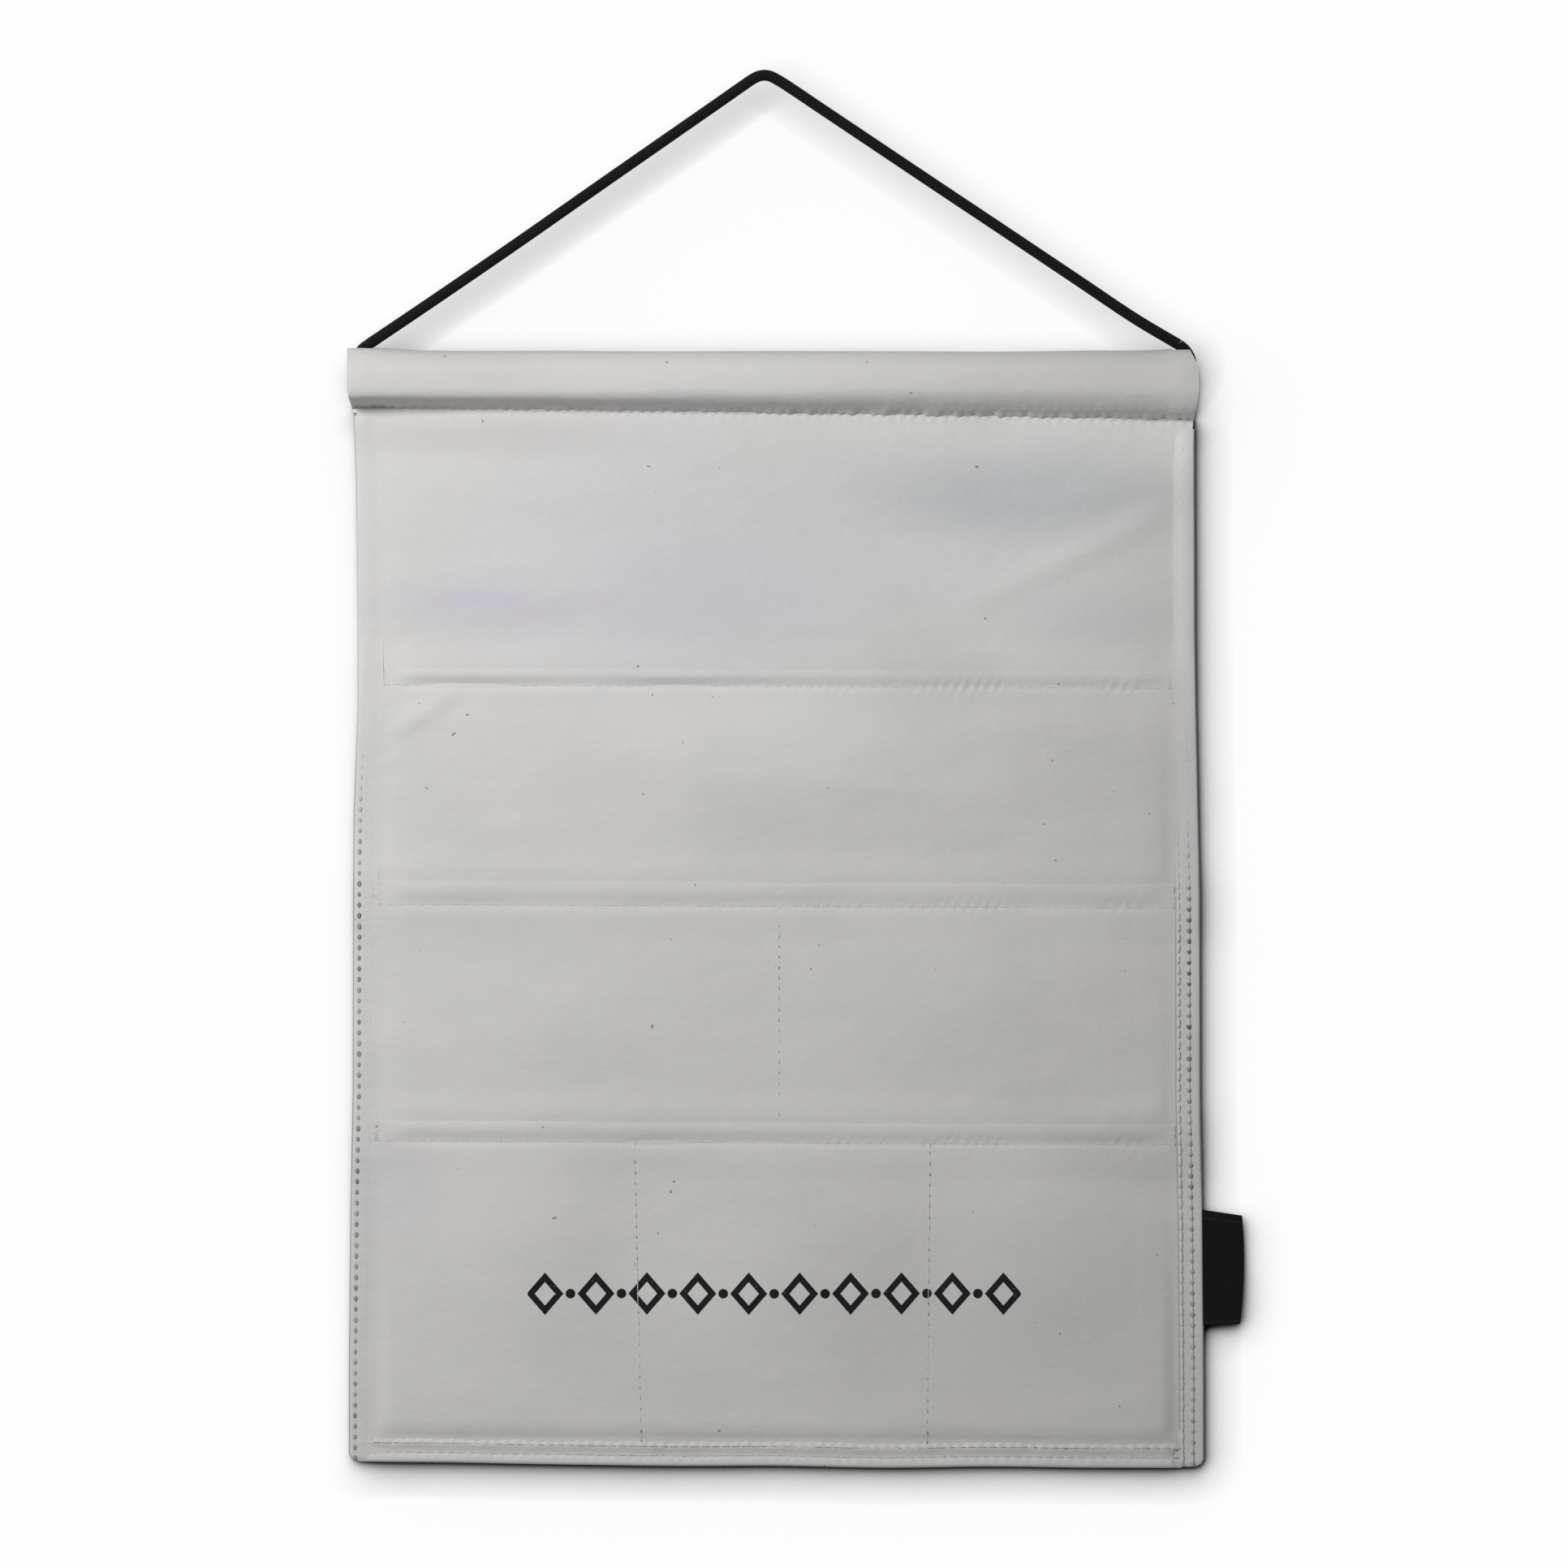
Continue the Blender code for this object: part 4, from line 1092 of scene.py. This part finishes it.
def bottom_tape(name):
    """Its left end sinks into the side tape, its right end is tucked under the other one."""
    inner = PANEL_HALF - BINDING
    line = spaced(-(PANEL_HALF - CORNER), inner + 0.0012, STITCH / 4)
    front = bottom_front(line) - 0.0010 * smooth(line, inner - 0.0035, inner)
    front = front - 0.0008 * smooth(-line, inner - 0.0010, PANEL_HALF - CORNER - 0.0005)
    inset, depth = tape_section(front)
    x = np.repeat(line[:, None], inset.shape[1], axis=1)
    depth = depth + bottom_relief(x, inset) * (depth > front[:, None] * 0.6)
    return pressed_tape(name, place(x.T, PANEL_HEIGHT - inset.T + bottom_edge(line), depth.T))


tapes = {
    "left_binding": side_tape("left_tape", -1),
    "right_binding": side_tape("right_tape", 1),
    "bottom_binding": bottom_tape("bottom_tape"),
}
for node, piece in tapes.items():
    dress(piece, tape_canvas)
    if node == "bottom_binding":
        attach(piece, "panel")
    else:
        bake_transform(piece)
    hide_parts(node)

# %% [markdown]
# ## Sleeve
# One strip goes from the seam up the back, over the rod and down the front to the seam
# again. Its section is known, so the strip is that section repeated from end to end. Then
# it is disturbed as real cloth is: it is looser at the ends, puckered at the seam, lifted
# where the cord comes out, and the seam runs a little downhill. On top of both ends a notch
# is cut for the cord.

# %% The sleeve's section
SLEEVE_HALF = 0.1760
NOTCH_FROM = 0.1656
NOTCH_HALF = 0.0032
SLEEVE_OUTER = 0.0099
TAIL_TOP = 0.0140
TAIL_BOTTOM = 0.0175
tail_front = SLEEVE_OUTER - 2 * CLOTH
LOOSE_UNDERSIDE = (
    (-0.0099, -0.0018), (-0.0098, -0.0040), (-0.0095, -0.0062),
    (-0.0085, -0.0082), (-0.0066, -0.0099), (-0.0044, -0.0111),
    (-0.0016, -0.0122), (0.0018, -0.0136), (0.0050, -0.0150),
)
corners = [(SLEEVE_OUTER, -TAIL_BOTTOM)]
corners += [(SLEEVE_OUTER * math.cos(a), SLEEVE_OUTER * math.sin(a)) for a in np.linspace(0, math.pi, 60)]
corners += [tuple(point) for point in smooth_route(LOOSE_UNDERSIDE, 0.0005)]
corners += [(0.0066, -0.0153), (tail_front, -0.0162), (tail_front, -TAIL_BOTTOM)]
corners = np.array(corners)
runs = np.concatenate([[0.0], np.cumsum(np.linalg.norm(np.diff(corners, axis=0), axis=1))])
around = np.concatenate([
    spaced(0.0, 0.030, 0.0016), spaced(0.0312, runs[-1] - 0.0130, 0.0013),
    spaced(runs[-1] - 0.0124, runs[-1], 0.0007),
])
section_y = np.interp(around, runs, corners[:, 0])
section_z = np.interp(around, runs, corners[:, 1])
print(f"the strip is {runs[-1] * 1000:.1f} mm long round the rod, {len(around)} points")


# %% The sleeve
def sleeve_grid(line):
    """The section repeated along the rod, then loosened, gathered and drawn in at its ends."""
    x, y = np.meshgrid(line, section_y)
    _, z = np.meshgrid(line, section_z)
    radius = np.hypot(y, z)

    # Where on the section a point lies
    front = smooth(y, 0.004, -0.002)
    under = smooth(z, -0.0075, -0.0125) * smooth(y, 0.0093, 0.0085)
    crease = smooth(z, -0.0120, -0.0148) * smooth(y, 0.0086, 0.0070)
    top = smooth(z, 0.0030, 0.0099)
    ends = smooth(np.abs(x), 0.150, 0.176)

    # Looser in front and on top, and most of all at the ends
    loose = 0.00030 * patches(x, z, 0.045, 0.008, 61) + 0.00025
    loose = loose + ends * (0.00050 + 0.00035 * patches(x, z, 0.012, 0.006, 62))
    loose = loose * np.maximum(front, top)

    # Drawn in by the seam's stitches, which leave a ragged edge
    near_seam = np.exp(-(TAIL_TOP + z) / 0.0022) * (z > -TAIL_TOP - 0.0002) + (z <= -TAIL_TOP - 0.0002)
    pulls = 0.00030 * pucker(x, x * 0, 1.0) * near_seam
    gathers = 0.00055 * patches(x, z, 0.010, 0.012, 63) * np.exp(-(TAIL_TOP + z) / 0.005)
    drawn = under * (pulls + gathers * (z > -TAIL_TOP))
    y = y + (y / radius) * loose - drawn + crease * LEAN * smooth(np.abs(x), 0.1000, 0.1720)
    ragged = 0.00038 * pucker(x, x * 0, 1.0) + 0.00050 * ripples(x, 0.0036, 64)
    z = z + (z / radius) * loose + crease * ragged

    # Lifted where the cord comes out, and the seam runs a little downhill
    lift = 0.0012 * trough(x + 0.168, 0.020) + 0.0002 * trough(x - 0.168, 0.016) - 0.0002
    slope = -0.0003 - 0.0027 * x / PANEL_HALF
    z = z + lift * top + slope * smooth(z, -0.0080, -0.0150)

    # The strip's ends aren't cut quite straight
    heights = [-0.0175, -0.0130, -0.0060, 0.0030, 0.0099]
    right = np.interp(z, heights, [-0.0024, -0.0019, -0.0011, -0.0014, -0.0044])
    left = np.interp(z, heights, [0.0026, 0.0021, 0.0007, 0.0007, 0.0006])
    x = x + np.where(x < 0, left, right) * smooth(np.abs(x), 0.160, 0.176)
    return np.stack([MIDDLE_X + x, np.minimum(y, WALL_Y), ROD_Z + z], axis=-1)


sleeve_line = spaced(-SLEEVE_HALF, SLEEVE_HALF, STITCH / 4)
middles = (sleeve_line[:-1] + sleeve_line[1:]) / 2
strip_y = (section_y[:-1] + section_y[1:]) / 2
strip_z = (section_z[:-1] + section_z[1:]) / 2
on_top = (np.abs(strip_y) < NOTCH_HALF) & (strip_z > 0)
in_notch = (np.abs(middles) > NOTCH_FROM)[None, :] & on_top[:, None]
grid = sleeve_grid(sleeve_line)
sleeve = cloth("sleeve_cloth", grid, flat_map(grid), keep=~in_notch)
dress(sleeve, canvas)
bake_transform(sleeve)
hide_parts("rod_sleeve")

# %% [markdown]
# ## Label
# A short piece of black woven tape is folded double and caught in the right-hand edge. It
# carries nothing but its own weave, with two paler threads along each edge. The tape is
# made in the same way as the other cloth: over the front ply, round the fold and back.

# %% Label
LABEL_X = 0.1759
LABEL_DROP = 0.3491
LABEL_TALL = 0.0467
LABEL_Y = 0.0078


def label_grid():
    """Out over the front ply, round the fold and back in over the rear ply."""
    reach, radius = 0.0180, 0.00070
    turns = np.linspace(0.0, math.pi, 9)
    front, rear = (spaced(0.0, reach - radius, step) for step in (0.0011, 0.0016))
    out = np.concatenate([front, reach - radius + radius * np.sin(turns), rear[::-1]])
    side = np.concatenate([np.full(len(front), -1.0), -np.cos(turns), np.full(len(rear), 1.0)])
    height = spaced(-LABEL_TALL / 2, LABEL_TALL / 2, 0.0008)[::-1]
    out, z = np.meshgrid(out, height)
    share = out / reach
    tall = z / (LABEL_TALL / 2)
    bowed = share * (0.0003 - 0.0012 * tall**2 + 0.0004 * tall)
    slanted = np.where(tall > 0, -0.0026 * share, -0.0012 + 0.0006 * share) * np.abs(tall)
    wave = 0.0005 * np.sin(3.0 * tall + 0.6) * share
    x = MIDDLE_X + LABEL_X + out + bowed
    y = LABEL_Y + side * radius * (0.55 + 0.45 * share) + wave
    return np.stack([x, y, FOLD_Z - LABEL_DROP + z + slanted], axis=-1)


def woven_tape_finish():
    material, nodes = new_material("black woven tape")
    flat = nodes.on_cloth()
    room = nodes.in_room()
    u, v, _ = nodes.parts(flat)
    twill = nodes.sine((u + v) * (2.0 * math.pi / 0.00080))
    ribs = nodes.size(nodes.sine(v * (math.pi / 0.00045)))
    fluff = nodes.noise(room, 1800.0, 2.0)
    down = nodes.size(v + LABEL_TALL / 2)
    edge = nodes.size(down - (LABEL_TALL / 2 - 0.0030))
    stripe = 1 - nodes.step(edge, 0.00035, 0.00055)
    # Painted shade in the grooves between the ribs; the fluff varies the black at random
    colour = nodes.mix(ribs * 0.6 + fluff * 0.4, rgb(0.0010, 0.0010, 0.0011), rgb(0.004, 0.004, 0.0043))
    colour = nodes.mix(stripe * 0.6, colour, rgb(0.016, 0.016, 0.017))
    relief = twill * 0.5 + ribs + stripe * 0.6
    surface(nodes, colour, 0.62 + fluff * 0.2, relief, (0.5, 0.0002), Specular_IOR_Level=0.10)
    return material


grid = label_grid()
label = cloth("woven_label", grid, flat_map(grid), thick=0.00035)
dress(label, woven_tape_finish())
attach(label, "label")
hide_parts("label_tab")

# %% [markdown]
# ## Stitches
# Every seam is lockstitch: short lengths of thread with a gap between, each end going down
# through a hole. Geometry Nodes set one small bead of thread after another along a line
# that lies on the cloth. An array along a curve would do so too, but its beads would all
# be alike. Here the line's points say how wide, dark, long and high each bead is. The lines
# come from the same functions as the cloth, so each bead sits in its own dimple. Wide beads
# of pale thread are pressed flat, and between the stitches of the edges short, flat, dark
# beads are painted shade for the open needle holes.


# %% A tree that sews
CARRIED = {
    "outward": "FLOAT_VECTOR", "width": "FLOAT", "shade": "FLOAT", "long": "FLOAT", "high": "FLOAT",
}


def stitch_tree(material):
    """A bead is made once, along X, and an instance of it is set on every stitch."""
    tree = bpy.data.node_groups.new("run of stitches", "GeometryNodeTree")
    face = tree.interface
    face.new_socket("Lines", in_out="INPUT", socket_type="NodeSocketGeometry")
    given = {"Pitch": STITCH, "Filled Share": 0.60, "Height": 0.80, "Unevenness": 0.12}
    for name, value in given.items():
        face.new_socket(name, in_out="INPUT", socket_type="NodeSocketFloat").default_value = value
    face.new_socket("Seed", in_out="INPUT", socket_type="NodeSocketInt").default_value = 7
    face.new_socket("Stitches", in_out="OUTPUT", socket_type="NodeSocketGeometry")
    nodes = Nodes(tree)
    lines = nodes.add("NodeGroupInput")
    pitch, share, height, uneven, seed = (nodes.output(lines, name) for name in (*given, "Seed"))

    # Each line becomes evenly spaced points, one for a stitch
    line = nodes.add("GeometryNodeMeshToCurve", None, {0: lines})
    spots = nodes.add("GeometryNodeResampleCurve", {"mode": "LENGTH"}, {"Curve": line, "Length": pitch})

    # The bead: a ring is swept along a short arch, and gets smaller towards its ends
    start = {"Start": (-0.5, 0.0, 0.0), "End": (0.5, 0.0, 0.0)}
    bead_line = nodes.add("GeometryNodeCurvePrimitiveLine", None, start)
    bead_line = nodes.add("GeometryNodeResampleCurve", None, {"Curve": bead_line, "Count": 6})
    along = nodes.parts(nodes.add("GeometryNodeInputPosition"))[0]
    arch = 1 - along * along * 4.0
    lift = nodes.add("ShaderNodeCombineXYZ", None, {"Z": arch * 0.5})
    bead_line = nodes.add("GeometryNodeSetPosition", None, {"Geometry": bead_line, "Offset": lift})
    ring = nodes.add("GeometryNodeCurvePrimitiveCircle", None, {"Resolution": 6, "Radius": 0.5})
    taper = nodes.math("POWER", arch * 0.96 + 0.04, 0.15)
    parts = {"Curve": bead_line, "Profile Curve": ring, "Scale": taper, "Fill Caps": True}
    bead = nodes.add("GeometryNodeCurveToMesh", None, parts)
    bead = nodes.add("GeometryNodeSetShadeSmooth", None, {"Geometry": bead})

    # Every bead takes its turn and size from its point on the line
    outward, width, _, long, high = (
        nodes.add("GeometryNodeInputNamedAttribute", {"data_type": kind}, {"Name": name})
        for name, kind in CARRIED.items()
    )
    long, high = long * share * pitch, high * height
    tangent = nodes.add("GeometryNodeInputTangent")
    turn = nodes.add("FunctionNodeAlignRotationToVector", {"axis": "X"}, {"Vector": tangent})
    turn = nodes.add("FunctionNodeAlignRotationToVector", {"axis": "Z", "pivot_axis": "X"},
                     {"Rotation": turn, "Vector": outward})
    chance = nodes.add("FunctionNodeRandomValue", {"data_type": "FLOAT"},
                       {2: 1 - uneven, 3: uneven + 1, "Seed": seed}, out=1)
    size = nodes.add("ShaderNodeCombineXYZ", None, {0: long * chance, 1: width * chance, 2: width * high})
    placed = {"Points": spots, "Instance": bead, "Rotation": turn, "Scale": size}
    sewn = nodes.add("GeometryNodeInstanceOnPoints", None, placed)
    sewn = nodes.add("GeometryNodeRealizeInstances", None, {"Geometry": sewn})
    sewn = nodes.add("GeometryNodeSetMaterial", None, {"Geometry": sewn, "Material": material})
    nodes.add("NodeGroupOutput", None, {0: sewn})
    return tree


def thread_finish():
    material, nodes = new_material("twisted thread")
    room = nodes.in_room()
    shade = nodes.add("ShaderNodeAttribute", {"attribute_name": "shade"}, out=2)
    x, _, z = nodes.parts(room)
    ply = nodes.sine((x + z) * (2.0 * math.pi / 0.00045))
    fuzz = nodes.noise(room, 2400.0, 2.0)
    # The shade attribute darkens a bead: the thread's own tone, and painted shade in the beads that stand
    # for needle holes
    colour = nodes.mix(shade, rgb(0.66, 0.657, 0.648), rgb(0.09, 0.09, 0.09))
    colour = nodes.mix(fuzz * 0.10, colour, rgb(0.25, 0.248, 0.243))
    surface(nodes, colour, 0.55 + fuzz * 0.2, ply + fuzz * 0.5, (0.5, 0.00012), Specular_IOR_Level=0.15)
    return material


thread = thread_finish()
sewing = stitch_tree(thread)
print("inputs of the tree:", ", ".join(item.name for item in sewing.interface.items_tree))

# %% [markdown]
# The lines are gathered for each body, and each set is sewn at once. The tree's inputs are
# set on the modifier by identifier. Then the result is turned into a plain mesh, because
# the export keeps meshes only.

# %% Lines to sew along
LIFT = 0.0001
LINE_STEP = 0.0011
THREAD = 0.0004
REAR_THREAD = 0.0006


class Seams:
    """Lines to be sewn on one body, with what each point of them carries."""

    def __init__(self):
        self.points, self.edges = [], []
        self.carried = {name: [] for name in CARRIED}

    def line(self, points, outward, width, shade, long=1.0, high=1.0):
        first, count = len(self.points), len(points)
        self.points += points.tolist()
        self.edges += [(first + k, first + k + 1) for k in range(count - 1)]
        self.carried["outward"] += [outward] * count
        for name, look in (("width", width), ("shade", shade), ("long", long), ("high", high)):
            self.carried[name] += np.broadcast_to(look, count).tolist()

    def sew(self, name, **inputs):
        """The stitches along all lines, as one plain mesh."""
        mesh = bpy.data.meshes.new(name + "_lines")
        mesh.from_pydata(self.points, self.edges, [])
        for title, kind in CARRIED.items():
            attribute = mesh.attributes.new(title, kind, "POINT")
            field = "vector" if kind == "FLOAT_VECTOR" else "value"
            attribute.data.foreach_set(field, np.array(self.carried[title], np.float32).ravel())
        lines = linked(name + "_lines", mesh)
        modifier = lines.modifiers.new("sewing", "NODES")
        modifier.node_group = sewing
        for item in sewing.interface.items_tree:
            if item.in_out == "INPUT" and item.name in inputs:
                modifier[item.identifier] = inputs[item.name]
        settled = lines.evaluated_get(bpy.context.evaluated_depsgraph_get())
        sewn = bpy.data.meshes.new_from_object(settled)
        bpy.data.objects.remove(lines)
        sewn.name = name
        piece = linked(name, sewn)
        print(f"{name}: {len(sewn.polygons)} faces")
        return piece


FRONT, REAR = (0.0, -1.0, 0.0), (0.0, 1.0, 0.0)
panel_seams = Seams()
sleeve_seams = Seams()

seam_x = spaced(-SEWN_X, SEWN_X, LINE_STEP)
seam_depth = panel_depth(seam_x, np.full(seam_x.shape, SEAM_DROP))
sleeve_seams.line(place(seam_x, SEAM_DROP, seam_depth - LIFT), FRONT, THREAD, 0.08)

for row in ROWS:
    stitch_drop = row.mouth + row.hem - HEM_EDGE
    depth = row.depth(seam_x, np.full(seam_x.shape, stitch_drop))
    panel_seams.line(place(seam_x, stitch_drop, depth - LIFT), FRONT, THREAD, 0.06)
    for seam in row.seams:
        drops = spaced(row.mouth + row.hem + 0.001, row.flat_from, LINE_STEP)
        x = row.seam_at(seam, drops)
        depth = row.depth(x, drops) - LIFT
        panel_seams.line(place(x, drops, depth - 0.00008), FRONT, THREAD, 0.0)
        # Short dark beads between the stitches are painted shade in the needle holes
        spots = 0.55 + 0.45 * ripples(drops, 0.007, 78)
        panel_seams.line(place(x, drops + STITCH / 2, depth), FRONT, 0.0006, 0.55 * spots, 0.34)
        below = drops > row.mouth + TUCK + 0.001
        panel_seams.line(place(x[below], drops[below], -CLOTH - LIFT), REAR, REAR_THREAD, 0.25)
    if row.next_mouth is not None:
        seam = place(seam_x, row.bottom - TUCK / 4, -CLOTH - LIFT)
        panel_seams.line(seam, REAR, REAR_THREAD, 0.25)

# %% Stitches along the bindings
REAR_DEPTH = -BACK + 0.00035
EDGE_REAR_THREAD = 0.0007

# How high a wide thread stands once it is pressed flat, and how deep in the cloth the thread
# lies where an edge hardly shows its stitches
FLATTENED = 0.0005
SUNK = 0.00026
drops = spaced(0.0095, PANEL_HEIGHT - 0.0035, LINE_STEP)
uneven = 0.85 + 0.35 * ripples(drops, 0.0065, 77)

# For each run: how wide the thread is and how far it lies sunk in the cloth, both where the
# edge shows its stitches, and how wide, dark and long the spots between the stitches are,
# which are painted shade in the needle holes
SIDE_LOOKS = {
    -1: ((0.0004, 0.00020, 0.0016, 0.64, 0.64), (0.0004, 0.00026, 0.0, 0.0, 0.0)),
    1: ((0.0010, 0.00004, 0.0018, 0.80, 0.60), (0.0014, 0.00004, 0.0013, 0.42, 0.42)),
}
for side, looks in SIDE_LOOKS.items():
    seen = shown(side, drops)
    faded = 1.0 - 0.40 * smooth(drops, drop_at(1300), drop_at(1400)) * (side > 0)
    for inset, (wide, sunk, spot, dark, long) in zip(EDGE_INSETS[side], looks):
        depth = side_front(side, drops) + side_relief(side, drops, np.full(drops.shape, inset))
        x = side * (PANEL_HALF - inset)
        width = THREAD + (wide - THREAD) * seen
        front = place(x, drops, depth - (SUNK + (sunk - SUNK) * seen))
        panel_seams.line(front, FRONT, width, 0.05, high=np.minimum(1.0, FLATTENED / width))
        rear = place(x, drops, REAR_DEPTH - waves(x, drops))
        panel_seams.line(rear, REAR, EDGE_REAR_THREAD, 0.30)
        # Dark spots between the stitches: painted shade in the needle holes
        holes = (drops > drop_at(900)) & (dark > 0)
        if holes.any():
            spots = place(x, drops[holes] + STITCH / 2, depth[holes] - LIFT)
            shade = (dark * seen * uneven * faded)[holes]
            width = spot * np.minimum(1.0, 0.4 + seen[holes])
            panel_seams.line(spots, FRONT, width, shade, long, high=0.35)

line_half = PANEL_HALF - BINDING - 0.001
line = spaced(-line_half, line_half, LINE_STEP)
for inset in BOTTOM_INSETS:
    drop = PANEL_HEIGHT - inset + bottom_edge(line)
    depth = bottom_front(line) + bottom_relief(line, np.full(line.shape, inset))
    panel_seams.line(place(line, drop, depth), FRONT, THREAD, 0.08)
    rear = place(line, drop, REAR_DEPTH - waves(line, drop))
    panel_seams.line(rear, REAR, EDGE_REAR_THREAD, 0.30)

# %% Sewing
sleeve_stitches = sleeve_seams.sew("sleeve_stitches", Seed=3)
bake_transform(sleeve_stitches)
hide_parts("sleeve_seam_thread")
panel_stitches = panel_seams.sew("panel_stitches", Seed=11)
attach(panel_stitches, "panel")
members = frame["record"]["behaviour"]["bodies"]["panel"]
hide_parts(*[node for node in members if node.endswith("_thread")])

# %% [markdown]

# %% [markdown]
# ## Rod
# The rod is a plain extruded tube, so the CAD node keeps its own shape and only gets a
# finish: pale plastic with fine draw lines along its length.

# %% Rod
material, nodes = new_material("extruded plastic")
room = nodes.in_room()
lines = nodes.noise(nodes.stretched(room, (6.0, 900.0, 900.0)), 1.0, 3.0)
cloud = nodes.noise(room, 60.0, 3.0)
colour = nodes.mix(lines * 0.5 + cloud * 0.4, rgb(0.56, 0.56, 0.545), rgb(0.64, 0.64, 0.62))
surface(nodes, colour, 0.36 + lines * 0.2, lines, (0.25, 0.0002))
rod = frame["nodes"]["rod"]
if rod.material_slots:
    rod.material_slots[0].material = material
else:
    rod.data.materials.append(material)
print("rod:", len(rod.material_slots), "material slot")

# %% [markdown]
# ## Background
# The photograph shows pure white with a close, soft shadow. A real wall would hide what
# swings behind the organizer, so the wall is a clear film just behind it. It only darkens
# where something stands close before it, seen towards the lamp: that is what Ambient
# Occlusion measures. A pale floor lies far below. It glows a little for the camera, because
# the lamp hardly reaches it, and it can be seen through from underneath.


# %% Film and floor
def stage_plane(name, low, high, material):
    mesh = bpy.data.meshes.new(name)
    (x0, y0, z0), (x1, y1, z1) = low, high
    corners = [(x0, y0, z0), (x1, y0, z0), (x1, y1, z1), (x0, y1, z1)]
    mesh.from_pydata(corners, [], [(0, 1, 2, 3)])
    mesh.materials.append(material)
    linked(name, mesh)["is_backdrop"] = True


def film_finish():
    material, nodes = new_material("shadow film")
    toward_lamp = nodes.add("ShaderNodeCombineXYZ", None, {0: -0.56, 1: -0.42, 2: 0.71})
    close, wide = (
        nodes.add("ShaderNodeAmbientOcclusion", {"samples": 24},
                  {"Distance": distance, "Normal": toward_lamp}, out=1)
        for distance in (0.016, 0.070)
    )
    from_behind = nodes.output(nodes.add("ShaderNodeNewGeometry"), "Backfacing")
    seen = nodes.to_camera() * (1 - from_behind)
    dark = ((1 - close) * 1.85 + (1 - wide) * 0.20) * seen
    tint = nodes.mix(dark, rgb(1, 1, 1), rgb(0.0, 0.0, 0.0))
    clear = nodes.add("ShaderNodeBsdfTransparent", None, {"Color": tint})
    nodes.add("ShaderNodeOutputMaterial", None, {"Surface": clear})
    return material


def floor_finish():
    material, nodes = new_material("pale floor")
    room = nodes.in_room()
    tone = nodes.mix(nodes.noise(room, 3.0), rgb(0.80, 0.80, 0.80), rgb(0.86, 0.86, 0.86))
    solid = nodes.add("ShaderNodeBsdfDiffuse", None, {"Color": tone})
    glow = nodes.add("ShaderNodeEmission", None, {"Color": rgb(0.90, 0.90, 0.90), "Strength": 1.0})
    solid = nodes.add("ShaderNodeMixShader", None, {0: nodes.to_camera() * 0.6, 1: solid, 2: glow})
    clear = nodes.add("ShaderNodeBsdfTransparent")
    from_below = nodes.output(nodes.add("ShaderNodeNewGeometry"), "Backfacing")
    both = nodes.add("ShaderNodeMixShader", None, {0: from_below, 1: solid, 2: clear})
    nodes.add("ShaderNodeOutputMaterial", None, {"Surface": both})
    return material


film_y = WALL_Y + GAP
stage_plane("film", (-1.2, film_y, -1.25), (1.2, film_y, 0.9), film_finish())
stage_plane("floor", (-1.5, -1.5, -1.3), (1.5, 1.5, -1.3), floor_finish())

# %% [markdown]
# ## Light
# One large soft lamp stands up and to the left, near enough that the cloth grows darker
# towards the bottom right, as in the photograph. The world fills in little in front and
# more from behind, and shows white to the camera and in reflections.

# %% Lamp and world
KEY_WATTS = 14.7
FILL_FRONT = 0.12
FILL_BEHIND = 0.60
lamp_data = bpy.data.lights.new("key", "AREA")
lamp_data.shape = "DISK"
lamp_data.size = 0.32
lamp_data.energy = KEY_WATTS
lamp = bpy.data.objects.new("key", lamp_data)
lamp.location = (-0.55, -1.00, 0.20)
aim = Vector((-0.30, 0.0, -0.10)) - lamp.location
lamp.rotation_euler = aim.to_track_quat("-Z", "Y").to_euler()
lamp.visible_camera = False
bpy.context.scene.collection.objects.link(lamp)

world = bpy.data.worlds.new("studio")
world.use_nodes = True
nodes = Nodes(world.node_tree)
to_camera = nodes.to_camera()
shows = nodes.math("MAXIMUM", to_camera, nodes.output(to_camera, "Is Glossy Ray"))
shows = nodes.math("MAXIMUM", shows, nodes.output(to_camera, "Is Transmission Ray"))
_, ahead, _ = nodes.parts(nodes.add("ShaderNodeTexCoord"))
level = FILL_FRONT + nodes.step(ahead, -0.30, 0.50) * (FILL_BEHIND - FILL_FRONT)
fill = nodes.add("ShaderNodeBackground", None, {"Color": rgb(1, 1, 1), "Strength": level})
white = nodes.add("ShaderNodeBackground", None, {"Color": rgb(0.985, 0.99, 0.99), "Strength": 1.0})
both = nodes.add("ShaderNodeMixShader", None, {0: shows, 1: fill, 2: white})
nodes.add("ShaderNodeOutputWorld", None, {"Surface": both})
bpy.context.scene.world = world
bpy.context.scene.view_settings.view_transform = "Standard"

look_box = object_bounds()
boxes = {name: [[float(part) for part in corner] for corner in box]
         for name, box in (("cad", cad_box), ("visual", look_box))}
for name, (low, high) in boxes.items():
    print(name, [round((b - a) * 1000, 1) for a, b in zip(low, high)], "mm")
